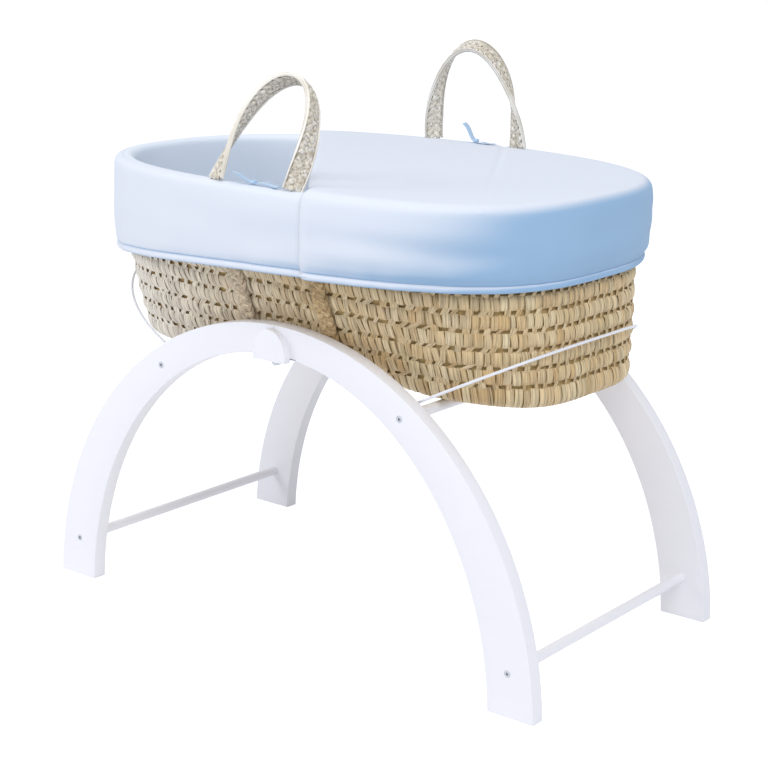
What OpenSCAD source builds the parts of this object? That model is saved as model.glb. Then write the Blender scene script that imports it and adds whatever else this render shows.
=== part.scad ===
// Moses basket on its folding arched stand.
// +X points to the foot end, +Y to the rear and +Z up. The floor is z = 0 and the hinges lie at x = 0.

/* [Arches] */
// Distance between the outer corners of the two feet of an arch
foot_span = 880; // [800:5:960]
// Height of an arch above the floor
arch_h = 458; // [445:1:470]
// Gap between a handle's strap and the inside of an arch at its top
arch_gap = 2.7; // [2:0.1:12]
// Thickness of an arch board
board_t = 23; // [20:0.5:24]
// Width of an arch board at the hinge
board_w_top = 42; // [38:1:46]
// Width of an arch board at the floor
board_w_foot = 72; // [60:1:84]
// Depth of the centre of the arch's curve below the floor
curve_drop = 22; // [12:1:32]
// Gap between the butting ends of the two halves of an arch
butt_gap = 0.3; // [0.2:0.1:0.6]

/* [Rails] */
// Diameter of a rail
rail_d = 15; // [12:0.5:17]
// Height of the lower rails' axes
lower_rail_z = 61; // [45:1:90]
// Height of the upper rails' axes
upper_rail_z = 366; // [358:1:370]
// Depth of the blind socket that takes the end of a rail
socket_deep = 9; // [6:0.5:12]
// Radial clearance of a rail in its socket and of a screw in its hole
fit_gap = 0.05; // [0.02:0.01:0.1]

/* [Rail screws] */
// Diameter of a rail screw
rail_screw_d = 5; // [4:0.5:6]
// Length of a rail screw
rail_screw_l = 48; // [35:1:60]
// Diameter of a rail screw's head
rail_head_d = 10; // [8:0.5:12]
// Width across the flats of the socket in a rail screw's head
hex_w = 4; // [3:0.5:5]

/* [Hinges] */
// Length of a hinge leaf along the arch
leaf_l = 38; // [32:1:44]
// Width of a hinge across the board
hinge_w = 20; // [18:0.5:20]
// Thickness of a hinge leaf
leaf_t = 2.5; // [2:0.25:3]
// Diameter of the hinge barrel
barrel_d = 12; // [10:0.5:13]
// Depth of the hinge pin below the arch's underside
barrel_drop = 9; // [8:0.5:10]
// Diameter of the hinge pin
pin_d = 5; // [4:0.25:6]
// Thickness of the hinge pin's head
pin_head_t = 1; // [0.5:0.1:1.2]
// Gap between two knuckles of a hinge
knuckle_gap = 0.4; // [0.3:0.1:0.6]
// Diameter of a hinge screw
hinge_screw_d = 4; // [3:0.25:4.5]
// Length of a hinge screw
hinge_screw_l = 18; // [14:1:24]
// Diameter of a hinge screw's head
hinge_head_d = 7.5; // [6.5:0.25:8]

/* [Hinge covers] */
// Width of the half-round block over the butting ends
cover_w = 58; // [50:1:70]
// Height of the half-round block
cover_h = 44; // [38:1:47]
// How far the half-round block stands out from the arch
cover_proud = 12; // [10:0.5:20]
// Depth of the block's foot below the arch's underside
cover_foot = 6; // [3:0.5:8]
// Gap between the block and the half that it does not hold
cover_gap = 0.4; // [0.3:0.1:0.8]

/* [Retaining hoops] */
// Diameter of the hoops' rod
hoop_d = 4; // [3.5:0.25:5]
// Height of a hoop's pivot above the upper rail's axis
pivot_rise = 14; // [13.5:0.5:16]
// Depth of a hoop's pivot in the arch board
pivot_deep = 14; // [10:1:16]
// Gap between a hoop's arm and the arch
hoop_side_gap = 5; // [4:0.5:7]
// Angle of the hoops above the level
hoop_tilt = 27; // [25:0.5:29]
// Gap between the foot-end hoop and the basket's end
foot_hoop_gap = 5; // [4.5:0.5:25]
// Corner radius of the foot-end hoop
foot_corner = 158; // [120:1:162]
// Gap between the head-end hoop and the basket's end
head_hoop_gap = 13; // [10:0.5:30]
// Corner radius of the head-end hoop
head_corner = 198; // [180:1:205]

/* [Palm basket] */
// Length of the basket at its base
base_l = 742; // [724:2:748]
// Width of the basket at its base
base_w = 333; // [310:1:338]
// Length of the woven rim
rim_l = 778; // [764:2:786]
// Width of the woven rim
rim_w = 532; // [510:1:534]
// Height of the woven wall
basket_h = 268; // [255:1:275]
// Thickness of the woven wall
wall_t = 9; // [7:0.5:11]
// Radius of the bottom edge
base_round = 18; // [14:1:22]
// Height of the rounded corner inside the base
inside_round = 16; // [12:1:17]
// Offset of the base towards the foot end
base_shift = -3; // [-6:1:-1]
// Offset of the rim towards the foot end
rim_shift = -35; // [-38:1:-33]
// Rows of sewn plait up the wall
row_count = 10; // [8:1:14]
// Depth of the groove between two rows
row_groove = 2.5; // [1.5:0.25:3]
// Squareness of the base's outline
base_n = 4.2; // [3.8:0.1:4.4]
// Squareness of the rim's outline at the head end
head_n = 2.4; // [2.2:0.05:2.8]
// Squareness of the rim's outline at the foot end
foot_n = 2.8; // [2.7:0.05:3.2]
// Share by which the rim widens towards the foot end
foot_swell = 0.06; // [0.02:0.01:0.08]
// Power of the wall's flare
flare_p = 1.35; // [1.2:0.05:1.4]
// Gap between the base and the rails under it
rest_gap = 0.3; // [0.2:0.1:0.5]

/* [Dressing] */
// Thickness of the padded dressing
pad_t = 7; // [5:0.5:8]
// Room for the handles' straps between the wall and the skirt
strap_room = 8; // [7.5:0.5:10]
// Height of the dressing's crest above the woven rim
crest_rise = 9.5; // [8:0.5:13]
// Drop of the crest from the head end to the middle of the foot end
crest_slope = -4; // [-8:0.5:0]
// Dip of the crest towards both ends
crest_dip = -4; // [-10:1:0]
// Height of the skirt's hem above the floor
hem_z = 537; // [528:1:548]
// Rise of the hem from the middle to the foot end
hem_slope = 16.5; // [10:0.5:20]
// Dip of the hem towards both ends
hem_dip = -15; // [-20:1:-10]
// How far the skirt draws in at its hem
hem_in = 2.5; // [1.5:0.5:3]
// Height of the lining's lower edge above the inside of the base
lining_foot = 22; // [18:1:30]
// Clearance between the layers
layer_gap = 0.6; // [0.4:0.1:0.9]

/* [Coverlet] */
// Thickness of the coverlet
cover_t = 6; // [4:0.5:7]
// Sag of the coverlet in its middle
cover_sag = 6; // [3:0.5:9]
// Drop of the coverlet's hem below the skirt's
cover_drop = 1; // [0.5:0.5:4]
// Place of the coverlet's turned-back edge on the front side
turn_front_x = 84; // [78:1:110]
// Place of the coverlet's turned-back edge towards the head end
turn_head_x = -365; // [-385:1:-340]
// Depth at which that edge reaches the head end
turn_head_y = 200; // [170:1:220]
// How far the front cut runs in over the crest before it slants
turn_in = 14; // [12:1:25]

/* [Mattress] */
// Gap between the mattress and the lining round it
mattress_gap = 3; // [2:0.5:10]
// Thickness of the mattress at its edge
mattress_t = 36; // [30:1:45]
// Rise of the mattress's crown over its edge
mattress_crown = 6; // [3:0.5:10]

/* [Handles] */
// Distance between the two legs of the front handle
front_span = 142; // [130:1:150]
// Distance between the two legs of the rear handle
rear_span = 158; // [140:1:170]
// Offset of the front handle towards the foot end
front_x = -7; // [-14:1:-5]
// Offset of the rear handle towards the foot end
rear_x = -29; // [-36:1:-20]
// Height of the front handle above its legs' feet
front_h = 149; // [130:1:170]
// Height of the rear handle above its legs' feet
rear_h = 144; // [130:1:170]
// Fullness of the front handle's shoulders, where 1 is an ellipse and less is squarer
front_full = 0.73; // [0.65:0.01:1]
// Fullness of the rear handle's shoulders
rear_full = 0.98; // [0.65:0.01:1]
// Width of the handles' plait
handle_w = 27; // [22:0.5:30]
// Thickness of the handles' plait
handle_t = 9; // [7:0.5:11]
// Angle at which the front handle leans over the basket
front_tilt = 29; // [20:1:34]
// Angle at which the rear handle leans over the basket
rear_tilt = 3; // [0:1:15]
// Distance between the two straps on one side of the wall
strap_span = 148; // [130:1:156]
// Width of the straps down the wall
strap_w = 24; // [18:1:28]
// Thickness of the straps down the wall
strap_t = 5.5; // [4:0.5:6]

/* [Ribbons] */
// Width of the ribbons
ribbon_w = 9; // [6:0.5:12]
// Thickness of the ribbons
ribbon_t = 1.2; // [0.8:0.1:1.6]
// Diameter of a ribbon's knot
knot_d = 13; // [10:0.5:16]
// Length of a ribbon's tail
tail_l = 40; // [30:1:48]

/* [Hidden] */
$fn = 48;
white_paint = "#f1f2f8";
white_rod = "#e9ebf2";
zinc = "#a9adb2";
palm = "#c9ae7f";
palm_pale = "#dccdaa";
blue_jersey = "#c8d9ee";
blue_ribbon = "#a9cbe8";
cotton = "#eef2f8";

// Arch
arc_step = 2.5;
half_span = foot_span / 2;
underside_z = arch_h - board_w_top;
out_b = arch_h + curve_drop;
in_b = underside_z + curve_drop;
out_a = half_span / sqrt(1 - pow(curve_drop / out_b, 2));
in_a = (half_span - board_w_foot) / sqrt(1 - pow(curve_drop / in_b, 2));
mid_a = (out_a + in_a) / 2;
mid_b = (out_b + in_b) / 2;

// Rails
function rail_x(z) = mid_a * sqrt(1 - pow((z + curve_drop) / mid_b, 2));
head_deep = (rail_head_d - rail_screw_d) / 2;
hex_deep = 2;

// Hinge
pin_z = underside_z - barrel_drop;
knuckles = 3;
knuckle_l = hinge_w / knuckles;
hinge_head_deep = (hinge_head_d - hinge_screw_d) / 2;
hinge_screw_x = [leaf_l * 0.42, leaf_l * 0.8];
seat_l = leaf_l + 1;

// Hoops
pivot_x = rail_x(upper_rail_z);
pivot_z = upper_rail_z + pivot_rise;

// Basket
sides = 56;
base_z = upper_rail_z + rail_d / 2 + rest_gap;
rim_z = base_z + basket_h;
floor_z = base_z + wall_t;
round_t = base_round / basket_h;
crest_z = rim_z + crest_rise;
skirt_out = strap_room + pad_t;
cover_out = skirt_out + layer_gap + cover_t;
lining_out = wall_t + layer_gap;
lining_in = lining_out + pad_t;
inside_ts = [0.9, 0.7, 0.4];

mattress_l = base_l - 2 * (lining_in + row_groove + mattress_gap);
mattress_w = base_w - 2 * (lining_in + row_groove + mattress_gap);

function mix(a, b, t) = a + (b - a) * t;
function to_tenth(x) = round(10 * x) / 10;

// Half-sizes and offset of the wall where its flare is k: 0 at the base and 1 at the rim
function flare(t) = 1 - pow(1 - t, flare_p);
function half_l(k) = mix(base_l, rim_l, k) / 2;
function half_w(k) = mix(base_w, rim_w, k) / 2;
function shift_x(k) = mix(base_shift, rim_shift, k);
function squareness(k, a) = mix(base_n, mix(head_n, foot_n, (1 + cos(a)) / 2), k);

// Point at angle a of an oval of half-sizes hl and hw, where its height is z = h[0] + h[1] u + h[2] u^2
function oval_point(a, hl, hw, k, h) =
    let (n = squareness(k, a),
         r = pow(pow(abs(cos(a)), n) + pow(abs(sin(a)), n), -1 / n),
         u = r * cos(a),
         v = r * sin(a) * (1 + foot_swell * k * u))
    [shift_x(k) + hl * u, hw * v, h[0] + h[1] * u + h[2] * u * u];
function oval(hl, hw, k, h) = [for (i = [0:sides - 1]) oval_point(360 * i / sides, hl, hw, k, h)];

// Oval that lies out millimetres outside the woven wall at height share t
function wall_heights(t) = [base_z + basket_h * t, crest_slope * t, crest_dip * t];
function wall_ring(t, out) =
    let (k = flare(t))
    oval(half_l(k) + out, half_w(k) + out, k, wall_heights(t));

// Oval of the skirt, where f is 0 at the crest and 1 at the hem
function skirt_heights(f, up = 0) =
    [mix(crest_z, hem_z, f) + up, mix(crest_slope, hem_slope, f), mix(crest_dip, hem_dip, f)];
function skirt_ring(f, out, up = 0) = oval(half_l(1) + out, half_w(1) + out, 1, skirt_heights(f, up));

// Oval of the coverlet's top, q of the crest's size, with its sag
function top_ring(q, out, up) =
    let (h = skirt_heights(0, up - cover_sag * (1 - q * q)))
    oval(q * (half_l(1) + out), q * (half_w(1) + out), 1, [h[0], h[1] * q, h[2] * q * q]);

// Front face of the wall: half-width at x and height share t
function wall_y(x, t) =
    let (k = flare(t), u = (x - shift_x(k)) / half_l(k), n = squareness(k, 90))
    half_w(k) * pow(1 - pow(abs(u), n), 1 / n) * (1 + foot_swell * k * u);
function wall_z(x, t) =
    let (k = flare(t), u = (x - shift_x(k)) / half_l(k), h = wall_heights(t))
    h[0] + h[1] * u + h[2] * u * u;

// Depth of the stand: the arches clear the straps on the wall, which passes between them
arch_k = flare((arch_h - base_z) / basket_h);
inner_y = to_tenth(half_w(arch_k) + layer_gap + strap_t + arch_gap);
face_y = inner_y + board_t;
rail_half = inner_y + socket_deep;
hinge_y = face_y - board_t / 2;
arm_y = inner_y - hoop_side_gap - hoop_d / 2;

// Reach of a hoop past its pivot, so that its crossbar clears the basket's end. way is 1 at the foot end.
function hoop_reach(way, gap, reach, tries) =
    tries == 0 ? reach
    : let (k = flare((pivot_z + reach * sin(hoop_tilt) - base_z) / basket_h),
           bar_x = half_l(k) + way * shift_x(k) + gap + hoop_d / 2)
      hoop_reach(way, gap, (bar_x - pivot_x) / cos(hoop_tilt), tries - 1);
foot_reach = to_tenth(hoop_reach(1, foot_hoop_gap, base_w / 2, 4));
head_reach = to_tenth(hoop_reach(-1, head_hoop_gap, base_w / 2, 4));

// Triangles of a skin over rings of count points each. turned cuts each field along its other diagonal.
function band_faces(rings, count, closed, turned) =
    [for (r = [0:rings - (closed ? 1 : 2)], i = [0:count - 1])
        let (j = (i + 1) % count, a = r * count, b = ((r + 1) % rings) * count)
        each turned ? [[a + i, b + i, a + j], [b + i, b + j, a + j]]
            : [[a + i, b + i, b + j], [a + i, b + j, a + j]]];

// Solid between the first and the last ring, or a closed band
module skin(rings, closed = false, turned = false) {
    count = len(rings[0]);
    last = (len(rings) - 1) * count;
    caps = closed ? [] : [[for (i = [0:count - 1]) i], [for (i = [count - 1:-1:0]) last + i]];
    polyhedron([for (r = rings) each r], concat(band_faces(len(rings), count, closed, turned), caps),
        convexity = 8);
}

// Copies for the front and the rear side, turned face for face
module on_side(front) {
    if (front) children();
    else mirror([0, 1, 0]) children();
}

// Copies for the foot end and the head end
module on_end(foot) {
    if (foot) children();
    else mirror([1, 0, 0]) children();
}

// Outline of one half of an arch, with its butting end near x = 0
function ellipse_arc(a, b, from, to, step) =
    [for (s = [0:1:(to - from) / step]) let (t = from + s * step) [a * cos(t), b * sin(t) - curve_drop]];
module half_arch_outline() {
    out_from = asin(curve_drop / out_b);
    in_from = asin(curve_drop / in_b);
    steps = floor(90 / arc_step);
    outer = ellipse_arc(out_a, out_b, out_from, 90, (90 - out_from) / steps);
    inner = ellipse_arc(in_a, in_b, in_from, 90, (90 - in_from) / steps);
    inner_back = [for (i = [len(inner) - 1:-1:0]) inner[i]];
    points = concat(outer, inner_back);
    polygon([for (p = points) [max(p[0], butt_gap / 2), p[1]]]);
}

// Lays a plan drawn in x and z against the inside of the front face, t thick
module in_depth(y, t) {
    translate([0, y + t, 0]) rotate([90, 0, 0]) linear_extrude(t) children();
}

// Cylinder along +Y from y0
module along_y(x, y0, z, d, l) {
    translate([x, y0, z]) rotate([-90, 0, 0]) cylinder(h = l, d = d);
}

// Countersunk screw along +Y with its head's face at y = 0
module countersunk(d, head_d, head_h, l, grow = 0) {
    rotate([-90, 0, 0]) {
        cylinder(h = l, d = d + 2 * grow);
        cylinder(h = head_h + grow, d1 = head_d + 2 * grow, d2 = d);
    }
}

// One half of an arch: sockets for two rails, holes for their screws, the hoop's pivot and the hinge's seat
module half_arch(front, foot) {
    color(white_paint)
    on_side(front) on_end(foot)
    difference() {
        in_depth(-face_y, board_t) half_arch_outline();
        for (z = [lower_rail_z, upper_rail_z]) {
            along_y(rail_x(z), -inner_y - socket_deep, z, rail_d + 2 * fit_gap, socket_deep + 1);
            translate([rail_x(z), -face_y, z])
                countersunk(rail_screw_d, rail_head_d, head_deep, board_t, fit_gap);
        }
        along_y(pivot_x, -inner_y - pivot_deep - 1, pivot_z, hoop_d + 2 * fit_gap, pivot_deep + 2);
        translate([0, -face_y - 1, underside_z - board_w_top])
            cube([seat_l, board_t + 2, board_w_top]);
        for (x = hinge_screw_x)
            translate([x, -hinge_y, underside_z - 1])
                cylinder(h = hinge_screw_l + 1, d = hinge_screw_d + 2 * fit_gap);
    }
}
module front_left_leg() { half_arch(true, false); }
module front_right_leg() { half_arch(true, true); }
module rear_left_leg() { half_arch(false, false); }
module rear_right_leg() { half_arch(false, true); }

// Round rail between the two arches, with a pilot hole in each end
module rail(z, foot) {
    color(white_paint)
    on_end(foot)
    difference() {
        along_y(rail_x(z), -rail_half, z, rail_d, 2 * rail_half);
        for (front = [true, false])
            on_side(front)
                along_y(rail_x(z), -face_y, z, rail_screw_d + 2 * fit_gap, rail_screw_l + 1);
    }
}
module left_lower_rail() { rail(lower_rail_z, false); }
module right_lower_rail() { rail(lower_rail_z, true); }
module left_upper_rail() { rail(upper_rail_z, false); }
module right_upper_rail() { rail(upper_rail_z, true); }

// Four countersunk socket screws that hold the two rails of one half
module rail_screws(foot) {
    color(zinc)
    on_end(foot)
    for (front = [true, false], z = [lower_rail_z, upper_rail_z])
        on_side(front)
            translate([rail_x(z), -face_y, z])
                difference() {
                    countersunk(rail_screw_d, rail_head_d, head_deep, rail_screw_l);
                    rotate([90, 0, 0]) cylinder(h = 2 * hex_deep, d = hex_w / cos(30), center = true, $fn = 6);
                }
}
module left_rail_screws() { rail_screws(false); }
module right_rail_screws() { rail_screws(true); }

// Hinge leaf under one half of an arch. The foot-end leaf has the two outer knuckles, the other the middle one.
module hinge_leaf(front, foot) {
    mine = foot ? [0, 2] : [1];
    color(zinc)
    on_side(front) on_end(foot)
    difference() {
        union() {
            translate([barrel_d / 2 + knuckle_gap, -hinge_y - hinge_w / 2, underside_z - leaf_t])
                cube([leaf_l - barrel_d / 2 - knuckle_gap, hinge_w, leaf_t]);
            for (i = mine)
                translate([0, -hinge_y - hinge_w / 2 + i * knuckle_l + knuckle_gap / 2, 0]) {
                    along_y(0, 0, pin_z, barrel_d, knuckle_l - knuckle_gap);
                    translate([0, 0, underside_z - leaf_t])
                        cube([barrel_d / 2 + 2 * knuckle_gap, knuckle_l - knuckle_gap, leaf_t]);
                    translate([0, 0, pin_z])
                        cube([barrel_d / 2, knuckle_l - knuckle_gap, underside_z - pin_z]);
                }
        }
        along_y(0, -hinge_y - hinge_w, pin_z, pin_d + 2 * fit_gap, 2 * hinge_w);
        translate([0, -hinge_y - hinge_w, underside_z])
            cube([barrel_d, 2 * hinge_w, barrel_d]);
        for (x = hinge_screw_x)
            translate([x, -hinge_y, underside_z - leaf_t])
                rotate([90, 0, 0])
                    countersunk(hinge_screw_d, hinge_head_d, hinge_head_deep, 2 * leaf_t, fit_gap);
    }
}
module front_hinge_leaf_left() { hinge_leaf(true, false); }
module front_hinge_leaf_right() { hinge_leaf(true, true); }
module rear_hinge_leaf_left() { hinge_leaf(false, false); }
module rear_hinge_leaf_right() { hinge_leaf(false, true); }

// Hinge pin with a riveted head at each end of the barrel
module hinge_pin(front) {
    head_d = (barrel_d + pin_d) / 2;
    color(zinc)
    on_side(front) {
        along_y(0, -hinge_y - hinge_w / 2, pin_z, pin_d, hinge_w);
        for (end = [-1, 1])
            translate([0, -hinge_y + end * hinge_w / 2, pin_z])
                rotate([-90 * end, 0, 0]) cylinder(h = pin_head_t, d1 = head_d, d2 = pin_d);
    }
}
module front_hinge_pin() { hinge_pin(true); }
module rear_hinge_pin() { hinge_pin(false); }

// Screws that hold the hinge leaves of one half, at the front and the rear
module hinge_screws(foot) {
    color(zinc)
    on_end(foot)
    for (front = [true, false], x = hinge_screw_x)
        on_side(front)
            translate([x, -hinge_y, underside_z - leaf_t])
                rotate([90, 0, 0])
                    countersunk(hinge_screw_d, hinge_head_d, hinge_head_deep, hinge_screw_l);
}
module left_hinge_screws() { hinge_screws(false); }
module right_hinge_screws() { hinge_screws(true); }

// Half-round block on the outer face, fixed to the foot-end half and clear of the other
module hinge_cover(front) {
    foot_z = underside_z - cover_foot;
    color(white_paint)
    on_side(front)
    difference() {
        in_depth(-face_y - cover_proud, cover_proud)
            polygon(concat([[cover_w / 2, foot_z]],
                [for (a = [5:5:175]) [cover_w / 2 * cos(a), foot_z + cover_h * pow(sin(a), 0.8)]],
                [[-cover_w / 2, foot_z]]));
        translate([-cover_w, -face_y - cover_gap, foot_z - 1])
            cube([cover_w + butt_gap / 2, cover_gap + 1, cover_h + 2]);
    }
}
module front_hinge_cover() { hinge_cover(true); }
module rear_hinge_cover() { hinge_cover(false); }

// Rod hoop round one end of the basket: two pivots, two arms, two bends and a crossbar
module retaining_hoop(foot, reach, corner) {
    bend = min(corner, reach - hoop_d);
    arm = reach - bend;
    bar = arm_y - bend;
    color(white_rod)
    on_end(foot)
    translate([pivot_x, 0, pivot_z]) rotate([0, -hoop_tilt, 0]) {
        for (front = [true, false])
            on_side(front) {
                along_y(0, -inner_y - pivot_deep + 0.5, 0, hoop_d, pivot_deep + inner_y - 0.5 - arm_y);
                translate([0, -arm_y, 0]) {
                    sphere(d = hoop_d);
                    rotate([0, 90, 0]) cylinder(h = arm, d = hoop_d);
                }
                translate([arm, -bar, 0])
                    rotate([0, 0, -90]) rotate_extrude(angle = 90) translate([bend, 0]) circle(d = hoop_d);
            }
        along_y(reach, -bar, 0, hoop_d, 2 * bar);
    }
}
module left_retaining_hoop() { retaining_hoop(false, head_reach, head_corner); }
module right_retaining_hoop() { retaining_hoop(true, foot_reach, foot_corner); }

// Coiled palm wall and base: each row of sewn plait swells between two grooves
module palm_basket() {
    row_t = (1 - round_t) / row_count;
    round_rings = [for (a = [0, 30, 60])
        wall_ring(round_t * (1 - cos(a)), -base_round * (1 - sin(a)) - row_groove)];
    row_rings = [for (r = [0:row_count - 1], half = [0, 1])
        wall_ring(round_t + row_t * (r + half / 2), half == 0 ? -row_groove : 0)];
    low_t = (wall_t + inside_round) / basket_h;
    inside_rings = [for (t = concat([1], inside_ts, [low_t])) wall_ring(t, -wall_t - row_groove)];
    floor_ring = [for (p = wall_ring(0, -wall_t - row_groove - inside_round / 2)) [p[0], p[1], floor_z]];
    base_ring = [for (p = round_rings[0]) [p[0], p[1], base_z]];
    color(palm)
    skin(concat([base_ring], [round_rings[1], round_rings[2]], row_rings,
        [wall_ring(1, -row_groove)], inside_rings, [floor_ring]));
}

// Foam mattress with a crowned top and drawn-in edges
module mattress() {
    edge_z = floor_z + layer_gap;
    profile = [[0, 0.93], [0.15, 0.975], [0.5, 1], [0.85, 0.975], [1, 0.93]];
    side_rings = [for (p = profile)
        oval(mattress_l / 2 * p[1], mattress_w / 2 * p[1], 0, [edge_z + mattress_t * p[0], 0, 0])];
    top_rings = [for (q = [0.75, 0.45, 0.12])
        oval(mattress_l / 2 * q, mattress_w / 2 * q, 0,
            [edge_z + mattress_t + mattress_crown * (1 - q * q), 0, 0])];
    color(cotton) skin(concat(side_rings, top_rings));
}

// Padded dressing: lining inside the wall, a rolled crest over the rim and a skirt down to its hem
module dressing() {
    lining_t0 = (wall_t + lining_foot) / basket_h;
    roll = (skirt_out + lining_in) / 2;
    mid = (skirt_out - lining_in) / 2;
    outside = [
        skirt_ring(1, skirt_out - hem_in - pad_t * 0.75, 2),
        skirt_ring(1, skirt_out - hem_in - pad_t / 2),
        skirt_ring(1, skirt_out - hem_in, 3),
        skirt_ring(0.9, skirt_out - 2),
        skirt_ring(0.55, skirt_out),
        skirt_ring(0.2, skirt_out - 1),
        skirt_ring(0.06, skirt_out - 4),
        skirt_ring(0, mid + roll * 0.3),
        skirt_ring(0, mid - roll * 0.3),
        wall_ring(1, -lining_in + 3)];
    lining_ts = concat(inside_ts, [lining_t0]);
    last = len(lining_ts) - 1;
    down_inside = [for (t = lining_ts) wall_ring(t, -lining_in - row_groove)];
    up_lining = [for (i = [last:-1:0]) wall_ring(lining_ts[i], -lining_out - row_groove)];
    over_rim = [
        wall_ring(1, -lining_out - row_groove),
        oval(half_l(1) - lining_out, half_w(1) - lining_out, 1, wall_heights(1) + [layer_gap, 0, 0]),
        oval(half_l(1) + strap_room, half_w(1) + strap_room, 1, wall_heights(1) + [layer_gap, 0, 0]),
        skirt_ring(0.55, skirt_out - pad_t)];
    color(blue_jersey) skin(concat(outside, down_inside, up_lining, over_rim), closed = true, turned = true);
}

// Padded coverlet over the foot end, with its own skirt and its front corner turned back on a slant
module coverlet() {
    inner_out = skirt_out + layer_gap;
    under = [
        top_ring(0.1, 0, layer_gap),
        top_ring(0.5, 0, layer_gap),
        top_ring(0.85, 0, layer_gap),
        skirt_ring(0, 0, layer_gap),
        skirt_ring(0, skirt_out - 3, layer_gap),
        skirt_ring(0.06, inner_out - 1),
        skirt_ring(0.2, inner_out),
        skirt_ring(0.55, inner_out),
        skirt_ring(0.9, inner_out),
        skirt_ring(1, inner_out - hem_in / 2, -cover_drop)];
    over = [
        skirt_ring(1, cover_out - hem_in / 2, -cover_drop),
        skirt_ring(0.9, cover_out),
        skirt_ring(0.55, cover_out),
        skirt_ring(0.2, cover_out),
        skirt_ring(0.06, cover_out - 2, cover_t / 2),
        skirt_ring(0, skirt_out - 3, layer_gap + cover_t),
        skirt_ring(0, 0, layer_gap + cover_t),
        top_ring(0.85, 0, layer_gap + cover_t),
        top_ring(0.5, 0, layer_gap + cover_t),
        top_ring(0.1, 0, layer_gap + cover_t)];
    color(blue_jersey)
    intersection() {
        skin(concat(under, over));
        linear_extrude(2 * crest_z)
            polygon([[turn_front_x, -rim_w], [turn_front_x, turn_in - half_w(1)], [turn_head_x, turn_head_y],
                [turn_head_x, rim_w], [foot_span, rim_w], [foot_span, -rim_w]]);
    }
}

// Ring of a flat plait of width w and thickness t at point p, across the directions side and out
function plait_ring(p, side, out, w, t) =
    [for (c = [[-0.5, -0.25], [-0.38, -0.5], [0.38, -0.5], [0.5, -0.25], [0.5, 0.25], [0.38, 0.5], [-0.38, 0.5],
               [-0.5, 0.25]])
        p + side * (c[0] * w) + out * (c[1] * t)];

function unit(v) = v / norm(v);

// Height of the layer that a handle or a ribbon lies on, at x along the crest
foot_y = half_w(1) + (skirt_out - lining_in) / 2;
foot_clear = 0.5;
function crest_at(x, front) = wall_z(x, 1) + crest_rise + (front ? 0 : layer_gap + cover_t);
function leg_z(x, front) = crest_at(x, front) + handle_t / 2 + foot_clear;

// Plaited handle: a loop on two round-footed legs, flat to the wall at its legs and flat to the hand at its top
module handle_loop(x, span, h, full, lean, front) {
    legs = span / 2;
    left_z = leg_z(x - legs, front);
    right_z = leg_z(x + legs, front);
    turns = 22;
    centre = [for (i = [0:turns]) let (a = 180 * i / turns) [-legs * cos(a), 0, h * pow(sin(a), full)]];
    loop = [for (i = [0:turns])
        let (p = centre[i],
             along = i == 0 ? [0, 0, 1] : i == turns ? [0, 0, -1] : unit(centre[i + 1] - centre[i - 1]),
             radial = unit(cross(along, [0, 1, 0])),
             w = pow(sin(180 * i / turns), 1.5),
             out = unit((1 - w) * [0, -1, 0] + w * radial),
             side = cross(out, along))
        plait_ring(p, side, out, handle_w, handle_t)];
    foot_in = [for (a = [80, 60, 40, 20])
        plait_ring([-legs, 0, -handle_t / 2 * sin(a)], [1, 0, 0], [0, -1, 0], handle_w, handle_t * cos(a))];
    foot_out = [for (a = [20, 40, 60, 80])
        plait_ring([legs, 0, -handle_t / 2 * sin(a)], [-1, 0, 0], [0, -1, 0], handle_w, handle_t * cos(a))];
    color(palm_pale)
    on_side(front)
    translate([x, -foot_y, (left_z + right_z) / 2])
        rotate([0, atan2(left_z - right_z, span), 0]) rotate([-lean, 0, 0])
            skin(concat(foot_in, loop, foot_out));
}
module front_handle() { handle_loop(front_x, front_span, front_h, front_full, front_tilt, true); }
module rear_handle() { handle_loop(rear_x, rear_span, rear_h, rear_full, rear_tilt, false); }

// Two straps that carry a handle's pull down the wall to the base
module handle_straps(front) {
    steps = 9;
    t_low = 0.1;
    t_high = 0.95;
    color(palm_pale)
    on_side(front)
    for (x = [-strap_span / 2, strap_span / 2])
        skin([for (i = [0:steps])
            let (t = mix(t_low, t_high, i / steps), up = t + 0.02,
                 p = [x, -wall_y(x, t) - layer_gap - strap_t / 2, wall_z(x, t)],
                 q = [x, -wall_y(x, up) - layer_gap - strap_t / 2, wall_z(x, up)],
                 along = unit(q - p),
                 out = unit(cross([1, 0, 0], along) * -1))
            plait_ring(p, [1, 0, 0], out * sign(-out[1]), strap_w, strap_t)]);
}
module front_handle_straps() { handle_straps(true); }
module rear_handle_straps() { handle_straps(false); }

// Ribbon tied on the crest between a handle's legs: a knot and two slack tails
module ribbon_tie(x, front) {
    rest_z = crest_at(x, front) + foot_clear;
    color(blue_ribbon)
    on_side(front) {
        difference() {
            translate([x, -foot_y, rest_z + knot_d / 4]) sphere(d = knot_d);
            translate([x - knot_d, -foot_y - knot_d, rest_z - knot_d]) cube([2 * knot_d, 2 * knot_d, knot_d]);
        }
        for (way = [-1, 1])
            skin([for (s = [0:0.2:1])
                let (tail_x = x + way * (knot_d / 4 + s * tail_l),
                     z = crest_at(tail_x, front) + foot_clear + ribbon_t / 2 + 2.5 * sin(180 * s))
                [for (c = [[-0.5, -0.5], [0.5, -0.5], [0.5, 0.5], [-0.5, 0.5]])
                    [tail_x, -foot_y + way * c[0] * ribbon_w, z + c[1] * ribbon_t]]]);
    }
}
module front_ribbon() { ribbon_tie(front_x, true); }
module rear_ribbon() { ribbon_tie(rear_x, false); }

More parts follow.
